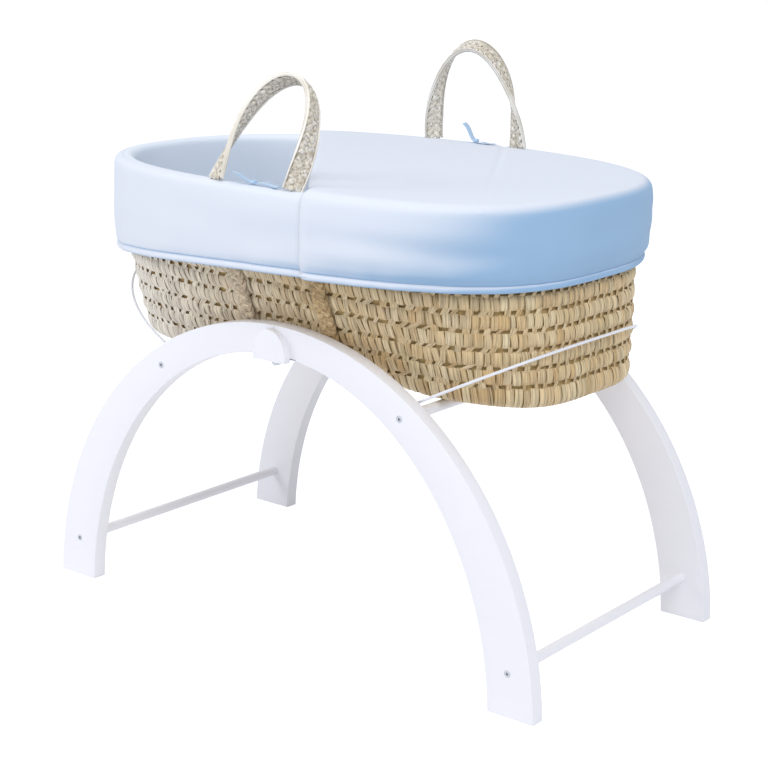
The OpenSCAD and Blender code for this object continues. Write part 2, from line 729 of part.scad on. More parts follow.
front_left_leg();
front_right_leg();
rear_left_leg();
rear_right_leg();
left_lower_rail();
right_lower_rail();
left_upper_rail();
right_upper_rail();
left_rail_screws();
right_rail_screws();
front_hinge_leaf_left();
front_hinge_leaf_right();
rear_hinge_leaf_left();
rear_hinge_leaf_right();
front_hinge_pin();
rear_hinge_pin();
left_hinge_screws();
right_hinge_screws();
front_hinge_cover();
rear_hinge_cover();
left_retaining_hoop();
right_retaining_hoop();
palm_basket();
mattress();
dressing();
coverlet();
front_handle();
rear_handle();
front_handle_straps();
rear_handle_straps();
front_ribbon();
rear_ribbon();
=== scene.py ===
# %% [markdown]
# # A moses basket on its folding stand
# A coiled palm basket, dressed in pale blue padded jersey, rests on a white stand of two hinged arches. The
# stand is rigid joinery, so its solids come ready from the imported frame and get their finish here. The
# basket, its cloth and its plaits are soft or hand-made, so each is modelled here over its plain solid.

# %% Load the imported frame
import math
from bisect import bisect_right
import bmesh
import bpy
from mathutils import Matrix, Vector, noise


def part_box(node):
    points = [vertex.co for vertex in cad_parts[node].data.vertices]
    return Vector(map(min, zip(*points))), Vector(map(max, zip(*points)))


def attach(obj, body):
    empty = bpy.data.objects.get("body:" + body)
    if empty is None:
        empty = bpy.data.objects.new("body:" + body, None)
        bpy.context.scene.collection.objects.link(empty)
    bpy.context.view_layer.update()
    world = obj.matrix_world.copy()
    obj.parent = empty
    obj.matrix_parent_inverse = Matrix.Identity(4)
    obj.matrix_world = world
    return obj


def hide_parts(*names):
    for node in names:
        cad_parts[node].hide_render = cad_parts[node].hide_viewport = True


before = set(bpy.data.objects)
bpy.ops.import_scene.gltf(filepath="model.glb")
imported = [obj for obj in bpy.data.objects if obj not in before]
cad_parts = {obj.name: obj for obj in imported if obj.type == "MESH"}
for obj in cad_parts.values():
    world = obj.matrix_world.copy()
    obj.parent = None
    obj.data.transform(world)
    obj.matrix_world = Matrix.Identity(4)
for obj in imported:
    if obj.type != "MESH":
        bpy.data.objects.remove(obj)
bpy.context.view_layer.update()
MM = 0.001

# %% [markdown]
# ## The camera
# The photograph was taken with a long lens, from the front right and a little above the basket. The place
# and the turn of the camera are found by fitting a pinhole to the stand's feet, screws and rails, so they
# are written as three angles and a place. A camera looks along its own -Z axis, which at first points
# straight down at the floor, so it is rolled, tipped up and turned, and then moved.

# %% Make the camera
CAMERA_AZIMUTH = math.radians(37.75)
CAMERA_ELEVATION = math.radians(14.78)
CAMERA_ROLL = math.radians(0.97)
CAMERA_PLACE = Vector((1.5743, -2.0254, 1.0054))
FOCAL_PIXELS = 1798.5
PICTURE_PIXELS = 768
SENSOR = 36.0


def camera_matrix():
    """The camera rolled about its view, tipped up, turned about Z and moved to its place."""
    roll = Matrix.Rotation(CAMERA_ROLL, 4, "Z")
    tip = Matrix.Rotation(math.pi / 2 - CAMERA_ELEVATION, 4, "X")
    return Matrix.Translation(CAMERA_PLACE) @ Matrix.Rotation(CAMERA_AZIMUTH, 4, "Z") @ tip @ roll


camera_data = bpy.data.cameras.new("camera")
camera_data.sensor_width = SENSOR
camera_data.lens = SENSOR * FOCAL_PIXELS / PICTURE_PIXELS
camera_data.clip_end = 50.0
camera = bpy.data.objects.new("camera", camera_data)
bpy.context.collection.objects.link(camera)
camera.matrix_world = camera_matrix()
bpy.context.scene.camera = camera
print("lens:", round(camera_data.lens, 1), "mm")

# %% [markdown]
# ## Finishes
# Every finish is a Principled shader with a pattern in front of it. A colour is written as an sRGB hex
# value, as it would be picked from a swatch, and one function turns it to the linear numbers that the
# shader takes. A pattern's scale says how many of its cells lie along one metre, so a second function works
# it out from the width of a cell in millimetres. A third adds a node, sets its inputs and links them, so
# that a finish reads like a recipe.

# %% Helpers for finishes


def colour(hex_value, alpha=1.0):
    """Linear RGBA of an sRGB hex colour."""
    parts = [int(hex_value[i:i + 2], 16) / 255.0 for i in (1, 3, 5)]
    linear = [p / 12.92 if p <= 0.04045 else ((p + 0.055) / 1.055) ** 2.4 for p in parts]
    return (*linear, alpha)


def cells(width):
    """Scale of a pattern whose cells are that many millimetres wide."""
    return 1.0 / (width * MM)


def add_node(material, kind, settings=None, inputs=None):
    """Adds a node, sets its properties, and sets or links its inputs."""
    tree = material.node_tree
    made = tree.nodes.new(kind)
    for name, value in (settings or {}).items():
        setattr(made, name, value)
    for name, value in (inputs or {}).items():
        if isinstance(value, bpy.types.NodeSocket):
            tree.links.new(value, made.inputs[name])
        else:
            made.inputs[name].default_value = value
    return made


def new_finish(name):
    """An empty node material."""
    material = bpy.data.materials.new(name)
    material.use_nodes = True
    material.node_tree.nodes.clear()
    return material


print("mid grey is", round(colour("#808080")[0], 3), "in linear light")

# %% [markdown]
# ## Paint, rod and zinc
# The arches are boards of sanded wood under satin white paint. Sprayed paint isn't quite flat: it keeps a
# faint orange peel a few millimetres wide, and the wood's lines show through very softly. The hoops are
# steel rod under harder white paint. The hinges and screws are bright zinc, which is a brushed metal with a
# pale bluish tone.

# %% Paint, enamel and zinc


def make_satin_paint():
    """Satin white paint on wood: slight orange peel, and soft streaks of grain in its tone."""
    paint = new_finish("satin_white_paint")
    place = add_node(paint, "ShaderNodeTexCoord").outputs["Object"]
    streaks = add_node(paint, "ShaderNodeMapping",
                       inputs={"Vector": place, "Scale": (cells(50.0), cells(11.1), cells(11.1))})
    grain = add_node(paint, "ShaderNodeTexNoise",
                     inputs={"Vector": streaks.outputs["Vector"], "Scale": 1.0, "Detail": 4.0})
    peel = add_node(paint, "ShaderNodeTexNoise",
                    inputs={"Vector": place, "Scale": cells(3.12), "Detail": 2.0})
    tone = add_node(paint, "ShaderNodeMix", {"data_type": "RGBA"},
                    {"Factor": grain.outputs["Fac"], "A": colour("#F5F5FA"), "B": colour("#F8F8FC")})
    gloss = add_node(paint, "ShaderNodeMapRange",
                     inputs={"Value": peel.outputs["Fac"], "To Min": 0.34, "To Max": 0.46})
    lines = add_node(paint, "ShaderNodeBump",
                     inputs={"Height": grain.outputs["Fac"], "Strength": 0.02, "Distance": 1.0 * MM})
    bumps = add_node(paint, "ShaderNodeBump",
                     inputs={"Height": peel.outputs["Fac"], "Strength": 0.05, "Distance": 0.6 * MM,
                             "Normal": lines.outputs["Normal"]})
    shader = add_node(paint, "ShaderNodeBsdfPrincipled",
                      inputs={"Base Color": tone.outputs["Result"], "Roughness": gloss.outputs["Result"],
                              "IOR": 1.5, "Normal": bumps.outputs["Normal"]})
    add_node(paint, "ShaderNodeOutputMaterial", inputs={"Surface": shader.outputs["BSDF"]})
    return paint


def make_rod_enamel():
    """White enamel on steel rod: smooth, a little glossier than the boards, with a few tiny dull specks."""
    enamel = new_finish("white_rod_enamel")
    place = add_node(enamel, "ShaderNodeTexCoord").outputs["Object"]
    specks = add_node(enamel, "ShaderNodeTexNoise",
                      inputs={"Vector": place, "Scale": cells(3.85), "Detail": 3.0})
    tone = add_node(enamel, "ShaderNodeMix", {"data_type": "RGBA"},
                    {"Factor": specks.outputs["Fac"], "A": colour("#E6E8F1"), "B": colour("#F5F6FB")})
    gloss = add_node(enamel, "ShaderNodeMapRange",
                     inputs={"Value": specks.outputs["Fac"], "To Min": 0.24, "To Max": 0.4})
    shader = add_node(enamel, "ShaderNodeBsdfPrincipled",
                      inputs={"Base Color": tone.outputs["Result"], "Roughness": gloss.outputs["Result"],
                              "IOR": 1.5})
    add_node(enamel, "ShaderNodeOutputMaterial", inputs={"Surface": shader.outputs["BSDF"]})
    return enamel


def make_zinc_plate():
    """Zinc plate on steel: mottled by its passivation, with brush lines drawn coarse enough to show."""
    zinc = new_finish("zinc_plate")
    place = add_node(zinc, "ShaderNodeTexCoord").outputs["Object"]
    strokes = add_node(zinc, "ShaderNodeMapping",
                       inputs={"Vector": place, "Scale": (cells(6.67), cells(0.556), cells(0.556))})
    brush = add_node(zinc, "ShaderNodeTexNoise",
                     inputs={"Vector": strokes.outputs["Vector"], "Scale": 1.0, "Detail": 2.0})
    mottle = add_node(zinc, "ShaderNodeTexNoise",
                      inputs={"Vector": place, "Scale": cells(5.55), "Detail": 2.0})
    tone = add_node(zinc, "ShaderNodeMix", {"data_type": "RGBA"},
                    {"Factor": mottle.outputs["Fac"], "A": colour("#979DA6"), "B": colour("#C9CDD2")})
    gloss = add_node(zinc, "ShaderNodeMapRange",
                     inputs={"Value": brush.outputs["Fac"], "To Min": 0.26, "To Max": 0.44})
    shader = add_node(zinc, "ShaderNodeBsdfPrincipled",
                      inputs={"Base Color": tone.outputs["Result"], "Metallic": 1.0,
                              "Roughness": gloss.outputs["Result"]})
    add_node(zinc, "ShaderNodeOutputMaterial", inputs={"Surface": shader.outputs["BSDF"]})
    return zinc


satin_paint = make_satin_paint()
rod_enamel = make_rod_enamel()
zinc_plate = make_zinc_plate()
print("made", satin_paint.name, rod_enamel.name, zinc_plate.name)

# %% [markdown]
# ## The stand
# Rails, rods, hinges and screws have their true shape in the frame, so they only take a finish. The boards
# and the hinge covers are different: every long edge of a painted board is eased with sandpaper, which the
# eye reads at once as a thin soft highlight. A copy of each such solid is merged into one skin, its long
# edges are bevelled, and it takes the solid's place. Edges around holes stay sharp, as a drill leaves them.

# %% Finish the rails, rods and metal
ZINC_PIECES = ("rail_screws", "hinge_leaf", "hinge_pin", "hinge_screws")


def paint_node(name, material):
    """Gives a CAD node its finish."""
    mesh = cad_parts[name].data
    mesh.materials.clear()
    mesh.materials.append(material)


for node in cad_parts:
    if any(piece in node for piece in ZINC_PIECES):
        paint_node(node, zinc_plate)
    elif node.endswith("_rail"):
        paint_node(node, satin_paint)
    elif node.endswith("_hoop"):
        paint_node(node, rod_enamel)
print("painted the rails, hoops, hinges and screws")

# %% Ease the edges of the boards
EASE, COVER_EASE = 4.0 * MM, 3.0 * MM
LONG_EDGE = 4.5 * MM
NEAR = 0.1 * MM
SAME_PLACE = 1e-6
SHARP = math.radians(50.0)


def finish_mesh(bm, name, *materials, smooth=40.0):
    """Turns a bmesh into an object with those materials, smooth except at edges sharper than the angle."""
    mesh = bpy.data.meshes.new(name)
    bm.normal_update()
    for face in bm.faces:
        face.smooth = True
    for edge in bm.edges:
        edge.smooth = not (edge.is_manifold and edge.calc_face_angle() > math.radians(smooth))
    bm.to_mesh(mesh)
    bm.free()
    for material in materials:
        mesh.materials.append(material)
    made = bpy.data.objects.new(name, mesh)
    bpy.context.collection.objects.link(made)
    return made


def end_piece(piece, body, slot, *nodes):
    """Puts a finished piece on its body, in the place of its CAD solids. slot is not used."""
    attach(piece, body)
    if nodes:
        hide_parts(*nodes)
    return piece


def eased_copy(node, body, width, keep_edge):
    """A copy of a CAD solid with its long sharp edges rounded, standing for that solid."""
    bm = bmesh.new()
    bm.from_mesh(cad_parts[node].data)
    bmesh.ops.remove_doubles(bm, verts=bm.verts[:], dist=SAME_PLACE)
    bmesh.ops.dissolve_limit(bm, angle_limit=math.radians(1.0), verts=bm.verts[:], edges=bm.edges[:])
    sharp = [e for e in bm.edges if e.is_manifold and e.calc_face_angle() > SHARP and keep_edge(e, node)]
    bmesh.ops.bevel(bm, geom=sharp, offset=width, offset_type="OFFSET", affect="EDGES", segments=3,
                    profile=0.5, material=-1, clamp_overlap=True)
    bmesh.ops.triangulate(bm, faces=[f for f in bm.faces if len(f.verts) > 4])
    return end_piece(finish_mesh(bm, node + "_eased", satin_paint), body, "white_paint", node)


def on_outline(edge, node):
    """True for a long edge of a board: not on the small circle of a hole."""
    lo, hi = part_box(node)
    middle = (edge.verts[0].co + edge.verts[1].co) / 2
    on_face = min(abs(middle.y - lo[1]), abs(middle.y - hi[1])) < NEAR
    return edge.calc_length() > LONG_EDGE and (on_face or abs(middle.z) < NEAR)


for side in ("left", "right"):
    for row in ("front", "rear"):
        eased_copy(f"{row}_{side}_leg", side + "_frame", EASE, on_outline)
for row in ("front", "rear"):
    eased_copy(row + "_hinge_cover", "right_frame", COVER_EASE, lambda edge, node: True)
print("eased the boards and hinge covers")

# %% [markdown]
# ## The stage
# The photograph has a plain white ground, so the floor and the world are white to the camera. Its light is
# soft and comes from all round, so the lamps are large soft boxes: one at the upper left, one higher at the
# right and a weak one overhead.

# %% Floor, world and lamps
FLOOR_SIZE = 30.0
LAMP_AIM = Vector((0.0, 0.0, 0.5))


def seen_ray(finish):
    """1 for what the camera sees, also through a reflection, and 0 for the light on the object."""
    rays = add_node(finish, "ShaderNodeLightPath").outputs
    seen = rays["Is Camera Ray"]
    for kind in ("Is Glossy Ray", "Is Transmission Ray"):
        either = add_node(finish, "ShaderNodeMath", {"operation": "MAXIMUM"}, {0: seen, 1: rays[kind]})
        seen = either.outputs["Value"]
    return seen


def make_floor():
    """White floor that still takes the object's soft shadow."""
    white = new_finish("white_floor")
    matt = add_node(white, "ShaderNodeBsdfDiffuse", inputs={"Color": colour("#F4F4F6")})
    glow = add_node(white, "ShaderNodeEmission", inputs={"Color": colour("#FFFFFF"), "Strength": 0.62})
    both = add_node(white, "ShaderNodeAddShader",
                    inputs={0: matt.outputs["BSDF"], 1: glow.outputs["Emission"]})
    pick = add_node(white, "ShaderNodeMixShader",
                    inputs={0: seen_ray(white), 1: matt.outputs["BSDF"], 2: both.outputs["Shader"]})
    add_node(white, "ShaderNodeOutputMaterial", inputs={"Surface": pick.outputs["Shader"]})
    bm = bmesh.new()
    bmesh.ops.create_grid(bm, x_segments=2, y_segments=2, size=FLOOR_SIZE / 2)
    floor = finish_mesh(bm, "floor", white)
    return floor


def make_world():
    """White to the camera, and a plain pale light on the object."""
    world = bpy.data.worlds.new("studio")
    bpy.context.scene.world = world
    world.use_nodes = True
    world.node_tree.nodes.clear()
    fill = add_node(world, "ShaderNodeBackground", inputs={"Color": colour("#F1F4FC"), "Strength": 0.58})
    white = add_node(world, "ShaderNodeBackground", inputs={"Color": colour("#FFFFFF"), "Strength": 1.0})
    pick = add_node(world, "ShaderNodeMixShader",
                    inputs={0: seen_ray(world), 1: fill.outputs["Background"],
                            2: white.outputs["Background"]})
    add_node(world, "ShaderNodeOutputWorld", inputs={"Surface": pick.outputs["Shader"]})


def add_lamp(name, place, size, power):
    """A square soft box that looks at the object."""
    data = bpy.data.lights.new(name, "AREA")
    data.size = size
    data.energy = power
    lamp = bpy.data.objects.new(name, data)
    bpy.context.collection.objects.link(lamp)
    lamp.location = place
    lamp.rotation_euler = (LAMP_AIM - Vector(place)).to_track_quat("-Z", "Y").to_euler()


make_floor()
make_world()
bpy.context.scene.view_settings.view_transform = "Standard"
add_lamp("key_softbox", (-2.6, -2.6, 2.6), 2.0, 46.0)
add_lamp("fill_softbox", (2.2, -1.6, 3.2), 2.0, 52.0)
add_lamp("top_softbox", (-0.6, -1.0, 3.6), 2.4, 12.0)
print("floor, world and three lamps")

# %% [markdown]
# ## The basket's outline
# A palm basket is an oval that is rounder at the head than at the foot and wider at the rim than at the
# base. One formula gives every level of it, so the wall, the lining, the skirt and the coverlet all follow
# the same oval and lie just clear of each other. The squareness of the oval changes round its edge: 2 is an
# ellipse and larger numbers come closer to a rectangle.

# %% Sizes and levels of the basket
BASE_L, BASE_W, BASE_SHIFT, BASE_N = 742.0, 333.0, -3.0, 4.2
RIM_L, RIM_W, RIM_SHIFT = 778.0, 532.0, -35.0
HEAD_N, FOOT_N, FOOT_SWELL = 2.4, 2.8, 0.06
BASE_Z, BASKET_H, FLARE = 373.8, 268.0, 1.35
CREST_SLOPE, CREST_DIP, CREST_RISE = -4.0, -4.0, 9.5
HEM_Z, HEM_SLOPE, HEM_DIP = 537.0, 16.5, -15.0
CREST_Z = BASE_Z + BASKET_H + CREST_RISE


def clamp(value):
    """The value, kept between 0 and 1."""
    return min(max(value, 0.0), 1.0)


def mix(a, b, t):
    """The value t of the way from a to b."""
    return a + (b - a) * t


def flare(t):
    """How far the wall has opened at height share t: 0 at the base and 1 at the rim."""
    return 1.0 - (1.0 - t) ** FLARE


def oval_place(angle, half_l, half_w, k, heights):
    """Point of an oval at an angle, in metres. heights are z0, z1 and z2 of z0 + z1 u + z2 u squared."""
    cos_a, sin_a = math.cos(angle), math.sin(angle)
    n = mix(BASE_N, mix(HEAD_N, FOOT_N, (1.0 + cos_a) / 2.0), k)
    r = (abs(cos_a) ** n + abs(sin_a) ** n) ** (-1.0 / n)
    u = r * cos_a
    v = r * sin_a * (1.0 + FOOT_SWELL * k * u)
    z = heights[0] + heights[1] * u + heights[2] * u * u
    return Vector((mix(BASE_SHIFT, RIM_SHIFT, k) + half_l * u, half_w * v, z)) * MM


def wall_place(angle, t, out):
    """Point of the woven wall at height share t, out millimetres outside it."""
    k = flare(clamp(t))
    heights = (BASE_Z + BASKET_H * t, CREST_SLOPE * t, CREST_DIP * t)
    return oval_place(angle, mix(BASE_L, RIM_L, k) / 2 + out, mix(BASE_W, RIM_W, k) / 2 + out, k, heights)


def skirt_place(angle, f, out, up=0.0):
    """Point of the cloth outside the wall: f is 0 at the crest and 1 at the hem."""
    heights = (mix(CREST_Z, HEM_Z, f) + up, mix(CREST_SLOPE, HEM_SLOPE, f), mix(CREST_DIP, HEM_DIP, f))
    return oval_place(angle, RIM_L / 2 + out, RIM_W / 2 + out, 1.0, heights)


def even_angles(place, count):
    """Angles that cut a closed curve into count pieces of even length."""
    fine = 720
    points = [place(2 * math.pi * i / fine) for i in range(fine + 1)]
    reach = [0.0]
    for a, b in zip(points, points[1:]):
        reach.append(reach[-1] + (b - a).length)
    angles = []
    for i in range(count):
        target = reach[-1] * i / count
        j = min(bisect_right(reach, target) - 1, fine - 1)
        part = (target - reach[j]) / (reach[j + 1] - reach[j])
        angles.append(2 * math.pi * (j + part) / fine)
    return angles


def length_round(place):
    """Length of a closed curve, in metres."""
    points = [place(math.radians(a)) for a in range(361)]
    return sum((b - a).length for a, b in zip(points, points[1:]))


wall_round = length_round(lambda angle: wall_place(angle, 0.5, 0.0))
print("the wall is", round(wall_round, 2), "m round at half its height")

# %% Extrude a loop, ring after ring


def first_ring(bm, places):
    """Starts a skin: a loop of vertices at those places."""
    ring = bmesh.ops.create_circle(bm, cap_ends=False, segments=len(places), radius=1.0)["verts"]
    for vert, place in zip(ring, places):
        vert.co = place
    return ring


def next_ring(bm, ring, places):
    """Extrudes a loop by one step and puts its vertices at those places."""
    loop = list(zip(ring, ring[1:] + ring[:1]))
    made = bmesh.ops.extrude_edge_only(bm, edges=[bm.edges.get(pair) for pair in loop])["geom"]
    fresh = {item for item in made if isinstance(item, bmesh.types.BMVert)}
    above = []
    for vert, place in zip(ring, places):
        twin = next(e.other_vert(vert) for e in vert.link_edges if e.other_vert(vert) in fresh)
        twin.co = place
        above.append(twin)
    return above


def skin(rings, caps=False):
    """A bmesh skin through the rings. caps fills both ends."""
    bm = bmesh.new()
    ring = first = first_ring(bm, rings[0])
    for places in rings[1:]:
        ring = next_ring(bm, ring, places)
    if caps:
        bmesh.ops.contextual_create(bm, geom=first)
        bmesh.ops.contextual_create(bm, geom=ring)
    bmesh.ops.recalc_face_normals(bm, faces=bm.faces[:])
    return bm


trial = skin([[wall_place(math.radians(a), t, 0.0) for a in range(0, 360, 30)] for t in (0.0, 1.0)])
print("a trial skin of the wall, in 12 steps, has", len(trial.faces), "faces")
trial.free()

# %% [markdown]
# ## Palm leaf
# The basket is coiled: a rope of palm fibre lies in rows, and flat strips of palm leaf wrap each row. Every
# strip is its own leaf, so it has its own tone, from straw to greenish tan, and pleats about 2 mm wide along
# its length. The finish reads a number that each strip carries for its tone, and the strip's own UV for its
# pleats. The handles are plaited from the same leaf, bleached paler.

# %% Palm leaf finish
STRIP_W, PLEAT_W, PLEAT_RUN = 12.5, 1.92, 0.39
LEAVES_APART = 126.1
# Where the painted light on the leaf starts and where it is fullest, along X towards the head end.
PAINTED_LIGHT_FROM, PAINTED_LIGHT_TO = 60.0 * MM, -360.0 * MM


def make_palm_leaf(name, dark, light, olive):
    """Dried palm leaf: a tone for each leaf, pleats with painted shade, patches that stayed green, painted
    light at the head end.
    """
    leaf = new_finish(name)
    uv = add_node(leaf, "ShaderNodeUVMap", {"uv_map": "strip"}).outputs["UV"]
    own = add_node(leaf, "ShaderNodeAttribute", {"attribute_name": "leaf"}).outputs["Fac"]
    place = add_node(leaf, "ShaderNodeTexCoord").outputs["Object"]
    pleat_map = add_node(leaf, "ShaderNodeMapping",
                         inputs={"Vector": uv, "Scale": (STRIP_W / PLEAT_W, PLEAT_RUN, 1.0)})
    spread = add_node(leaf, "ShaderNodeMath", {"operation": "MULTIPLY"}, {0: own, 1: LEAVES_APART})
    moved = add_node(leaf, "ShaderNodeVectorMath", {"operation": "ADD"},
                     {0: pleat_map.outputs["Vector"], 1: spread.outputs["Value"]})
    pleats = add_node(leaf, "ShaderNodeTexNoise",
                      inputs={"Vector": moved.outputs["Vector"], "Scale": 1.0, "Detail": 3.0})
    blotch = add_node(leaf, "ShaderNodeTexNoise",
                      inputs={"Vector": place, "Scale": cells(45.5), "Detail": 3.0})
    straw = add_node(leaf, "ShaderNodeMix", {"data_type": "RGBA"},
                     {"Factor": own, "A": colour(dark), "B": colour(light)})
    green = add_node(leaf, "ShaderNodeMapRange",
                     inputs={"Value": blotch.outputs["Fac"], "From Min": 0.48, "From Max": 0.72,
                             "To Min": 0.0, "To Max": 0.7})
    tone = add_node(leaf, "ShaderNodeMix", {"data_type": "RGBA"},
                    {"Factor": green.outputs["Result"], "A": straw.outputs["Result"], "B": colour(olive)})
    # Painted light: the leaf turns to a pale cream towards the head end, the side the light falls on.
    length = add_node(leaf, "ShaderNodeSeparateXYZ", inputs={"Vector": place}).outputs["X"]
    head_light_share = add_node(leaf, "ShaderNodeMapRange",
                      inputs={"Value": length, "From Min": PAINTED_LIGHT_FROM, "From Max": PAINTED_LIGHT_TO,
                              "To Min": 0.0, "To Max": 0.95})
    head_lit_tone = add_node(leaf, "ShaderNodeMix", {"data_type": "RGBA"},
                     {"Factor": head_light_share.outputs["Result"], "A": tone.outputs["Result"],
                      "B": colour("#FBF6EA")})
    # The tone darkens along the low lines of the pleats: partly the leaf's own streaks, partly painted shade
    # in their grooves.
    lines = add_node(leaf, "ShaderNodeMapRange",
                     inputs={"Value": pleats.outputs["Fac"], "From Min": 0.34, "From Max": 0.6,
                             "To Min": 0.58, "To Max": 1.1})
    pleat_shaded_tone = add_node(leaf, "ShaderNodeVectorMath", {"operation": "SCALE"},
                     {"Vector": head_lit_tone.outputs["Result"], "Scale": lines.outputs["Result"]})
    ridges = add_node(leaf, "ShaderNodeBump",
                      inputs={"Height": pleats.outputs["Fac"], "Strength": 0.9, "Distance": 2.0 * MM})
    shader = add_node(leaf, "ShaderNodeBsdfPrincipled",
                      inputs={"Base Color": pleat_shaded_tone.outputs["Vector"], "Roughness": 0.5,
                              "Specular IOR Level": 0.5, "Normal": ridges.outputs["Normal"]})
    add_node(leaf, "ShaderNodeOutputMaterial", inputs={"Surface": shader.outputs["BSDF"]})
    return leaf


def make_palm_core():
    """The fibre rope inside each row: brown, seen only through the slots between the tabs."""
    core = new_finish("palm_core")
    place = add_node(core, "ShaderNodeTexCoord").outputs["Object"]
    fibre = add_node(core, "ShaderNodeTexNoise",
                     inputs={"Vector": place, "Scale": cells(4.55), "Detail": 3.0})
    tone = add_node(core, "ShaderNodeMix", {"data_type": "RGBA"},
                    {"Factor": fibre.outputs["Fac"], "A": colour("#A98A55"), "B": colour("#CDB07A")})
    shader = add_node(core, "ShaderNodeBsdfPrincipled",
                      inputs={"Base Color": tone.outputs["Result"], "Roughness": 0.85})
    add_node(core, "ShaderNodeOutputMaterial", inputs={"Surface": shader.outputs["BSDF"]})
    return core


palm_leaf = make_palm_leaf("palm_leaf", "#D0AE78", "#EFDCB4", "#D6C496")
bleached_leaf = make_palm_leaf("bleached_palm_leaf", "#C2B69E", "#F6F2EA", "#D0C6AE")
strap_leaf = make_palm_leaf("strap_palm_leaf", "#A17E4C", "#DEC292", "#B49C68")
palm_core = make_palm_core()
print("made", palm_leaf.name, bleached_leaf.name, strap_leaf.name, palm_core.name)

# %% [markdown]
# ## One leaf
# A strip of leaf is a small grid, bent by a function that says where each of its points goes. The wall's
# strips, the tabs between its rows and the strands of a plait differ only in that function. Strips are laid
# in small batches that are then joined, because an operator gets slower as its mesh grows.

# %% Lay one strip of leaf


def wobble(*key):
    """A number from about -1 to 1 that is always the same for the same key."""
    return noise.noise(Vector(key) * 7.31 + Vector((0.37, 1.91, 4.73))) * 1.6


def leaf_tone(*key):
    """Tone of one leaf, from 0 to 1."""
    return clamp(0.5 + 0.5 * wobble(*key))


def new_batch():
    """An empty bmesh with the UV map and the tone that every strip carries."""
    bm = bmesh.new()
    bm.loops.layers.uv.new("strip")
    bm.faces.layers.float.new("leaf")
    return bm


def add_strip(bm, place, tone, across, along):
    """One leaf: a grid whose points (a, b), each from -1 to 1, go where place(a, b) says."""
    uv, leaf = bm.loops.layers.uv["strip"], bm.faces.layers.float["leaf"]
    made = bmesh.ops.create_grid(bm, x_segments=across, y_segments=along, size=1.0)["verts"]
    for face in {face for vert in made for face in vert.link_faces}:
        face[leaf] = tone(face.calc_center_median().y)
        for loop in face.loops:
            loop[uv].uv = ((loop.vert.co.x + 1) / 2, (loop.vert.co.y + 1) / 2)
    for vert in made:
        vert.co = place(vert.co.x, vert.co.y)


def join_batches(batches):
    """All the batches in one bmesh."""
    whole = new_batch()
    for bm in batches:
        mesh = bpy.data.meshes.new("batch")
        bm.to_mesh(mesh)
        bm.free()
        whole.from_mesh(mesh)
        bpy.data.meshes.remove(mesh)
    return whole


print("tones of six leaves:", [round(leaf_tone(0, i, 5.1), 2) for i in range(6)])

# %% [markdown]
# ## The coiled wall
# The wall could be a bump map on an oval, but its edge against the white ground would then be a clean line.
# Here every strip is laid on the oval by itself: crowned across its width, drawn in at its two ends, with
# its own width and slant. Narrow tabs rise from row to row, and the slots between them are dark. The rope
# behind them is one lofted shell, which closes every slot.

# %% Lay the strips of the wall
ROWS = 10
BASE_ROUND = 18.0
DOME, DOME_REACH = 15.0 * MM, 0.21
LOW_ROW = 0.12
STRIP_SHARE = 0.4
STRIP_CROWN, STRIP_BELLY, STRIP_SINK = 1.6, 3.0, 3.4
TAB_W, TAB_PITCH, TAB_REACH = 8.0, 18.0, 0.22
TAB_CROWN, TAB_CURL, TAB_SINK = 0.9, 1.1, 1.4
UNEVEN_CUT, UNEVEN_GAP, UNEVEN_LIFT, UNEVEN_END = 0.3, 0.04, 0.6, 0.05
SMALL_TURN = 0.01
WALL_LOW_T = BASE_ROUND / BASKET_H * 0.55
ROW_T = (1.0 - WALL_LOW_T) / ROWS


def tucked(up):
    """How far the wall is drawn in at a height above the base, by the rounded bottom edge."""
    low = max(0.0, 1.0 - up / BASE_ROUND)
    return BASE_ROUND * (1.0 - math.sqrt(1.0 - low * low))


def domed(place, share):
    """The place, lifted with the middle of the base, which stands a little higher than its ends."""
    lift = max(0.0, 1.0 - (place.x / DOME_REACH) ** 2)
    return place + Vector((0.0, 0.0, DOME * lift * share))


def wall_domed(angle, t, out):
    """Point of the wall, whose lowest row follows the base."""
    return domed(wall_place(angle, t, out), max(0.0, 1.0 - t / LOW_ROW))


def upright(angle, low, top):
    """Turn along the oval, from the middle of a strip to its top, that lets it stand square to its row."""
    t = (low + top) / 2
    along = wall_place(angle + SMALL_TURN, t, 0.0) - wall_place(angle - SMALL_TURN, t, 0.0)
    rise = wall_place(angle, top, 0.0) - wall_place(angle, low, 0.0)
    return -SMALL_TURN * rise.dot(along) / along.length_squared


def wall_strip(row, start, end, lean, lift, ragged):
    """Place function of a strip round one row. The first row's strips go on round the bottom edge."""
    top = WALL_LOW_T + ROW_T * (row + 0.5 + STRIP_SHARE + ragged)
    low = WALL_LOW_T + ROW_T * (row + 0.5 - STRIP_SHARE + ragged) if row else 0.0
    slant = upright((start + end) / 2, low, top) + lean

    def place(a, b):
        t = mix(low, top, (b + 1) / 2)
        crown = STRIP_CROWN * (1.0 - a ** 4) + lift
        belly = STRIP_BELLY * (1.0 - abs(b) ** 3) - STRIP_SINK - tucked(t * BASKET_H)
        return wall_domed(mix(start, end, (a + 1) / 2) + slant * b, t, belly + crown)
    return place


def wall_tab(row, middle, half, lean):
    """Place function of a tab that rises from one row, leans over the slot and catches the row above."""
    between = WALL_LOW_T + ROW_T * (row + 1.0)
    reach = TAB_REACH * ROW_T
    slant = upright(middle, between - reach, between + reach) + lean

    def place(a, b):
        crown = TAB_CROWN * (1.0 - a * a) - TAB_CURL * b * b
        return wall_place(middle + half * a + slant * b, between + reach * b, crown - TAB_SINK)
    return place


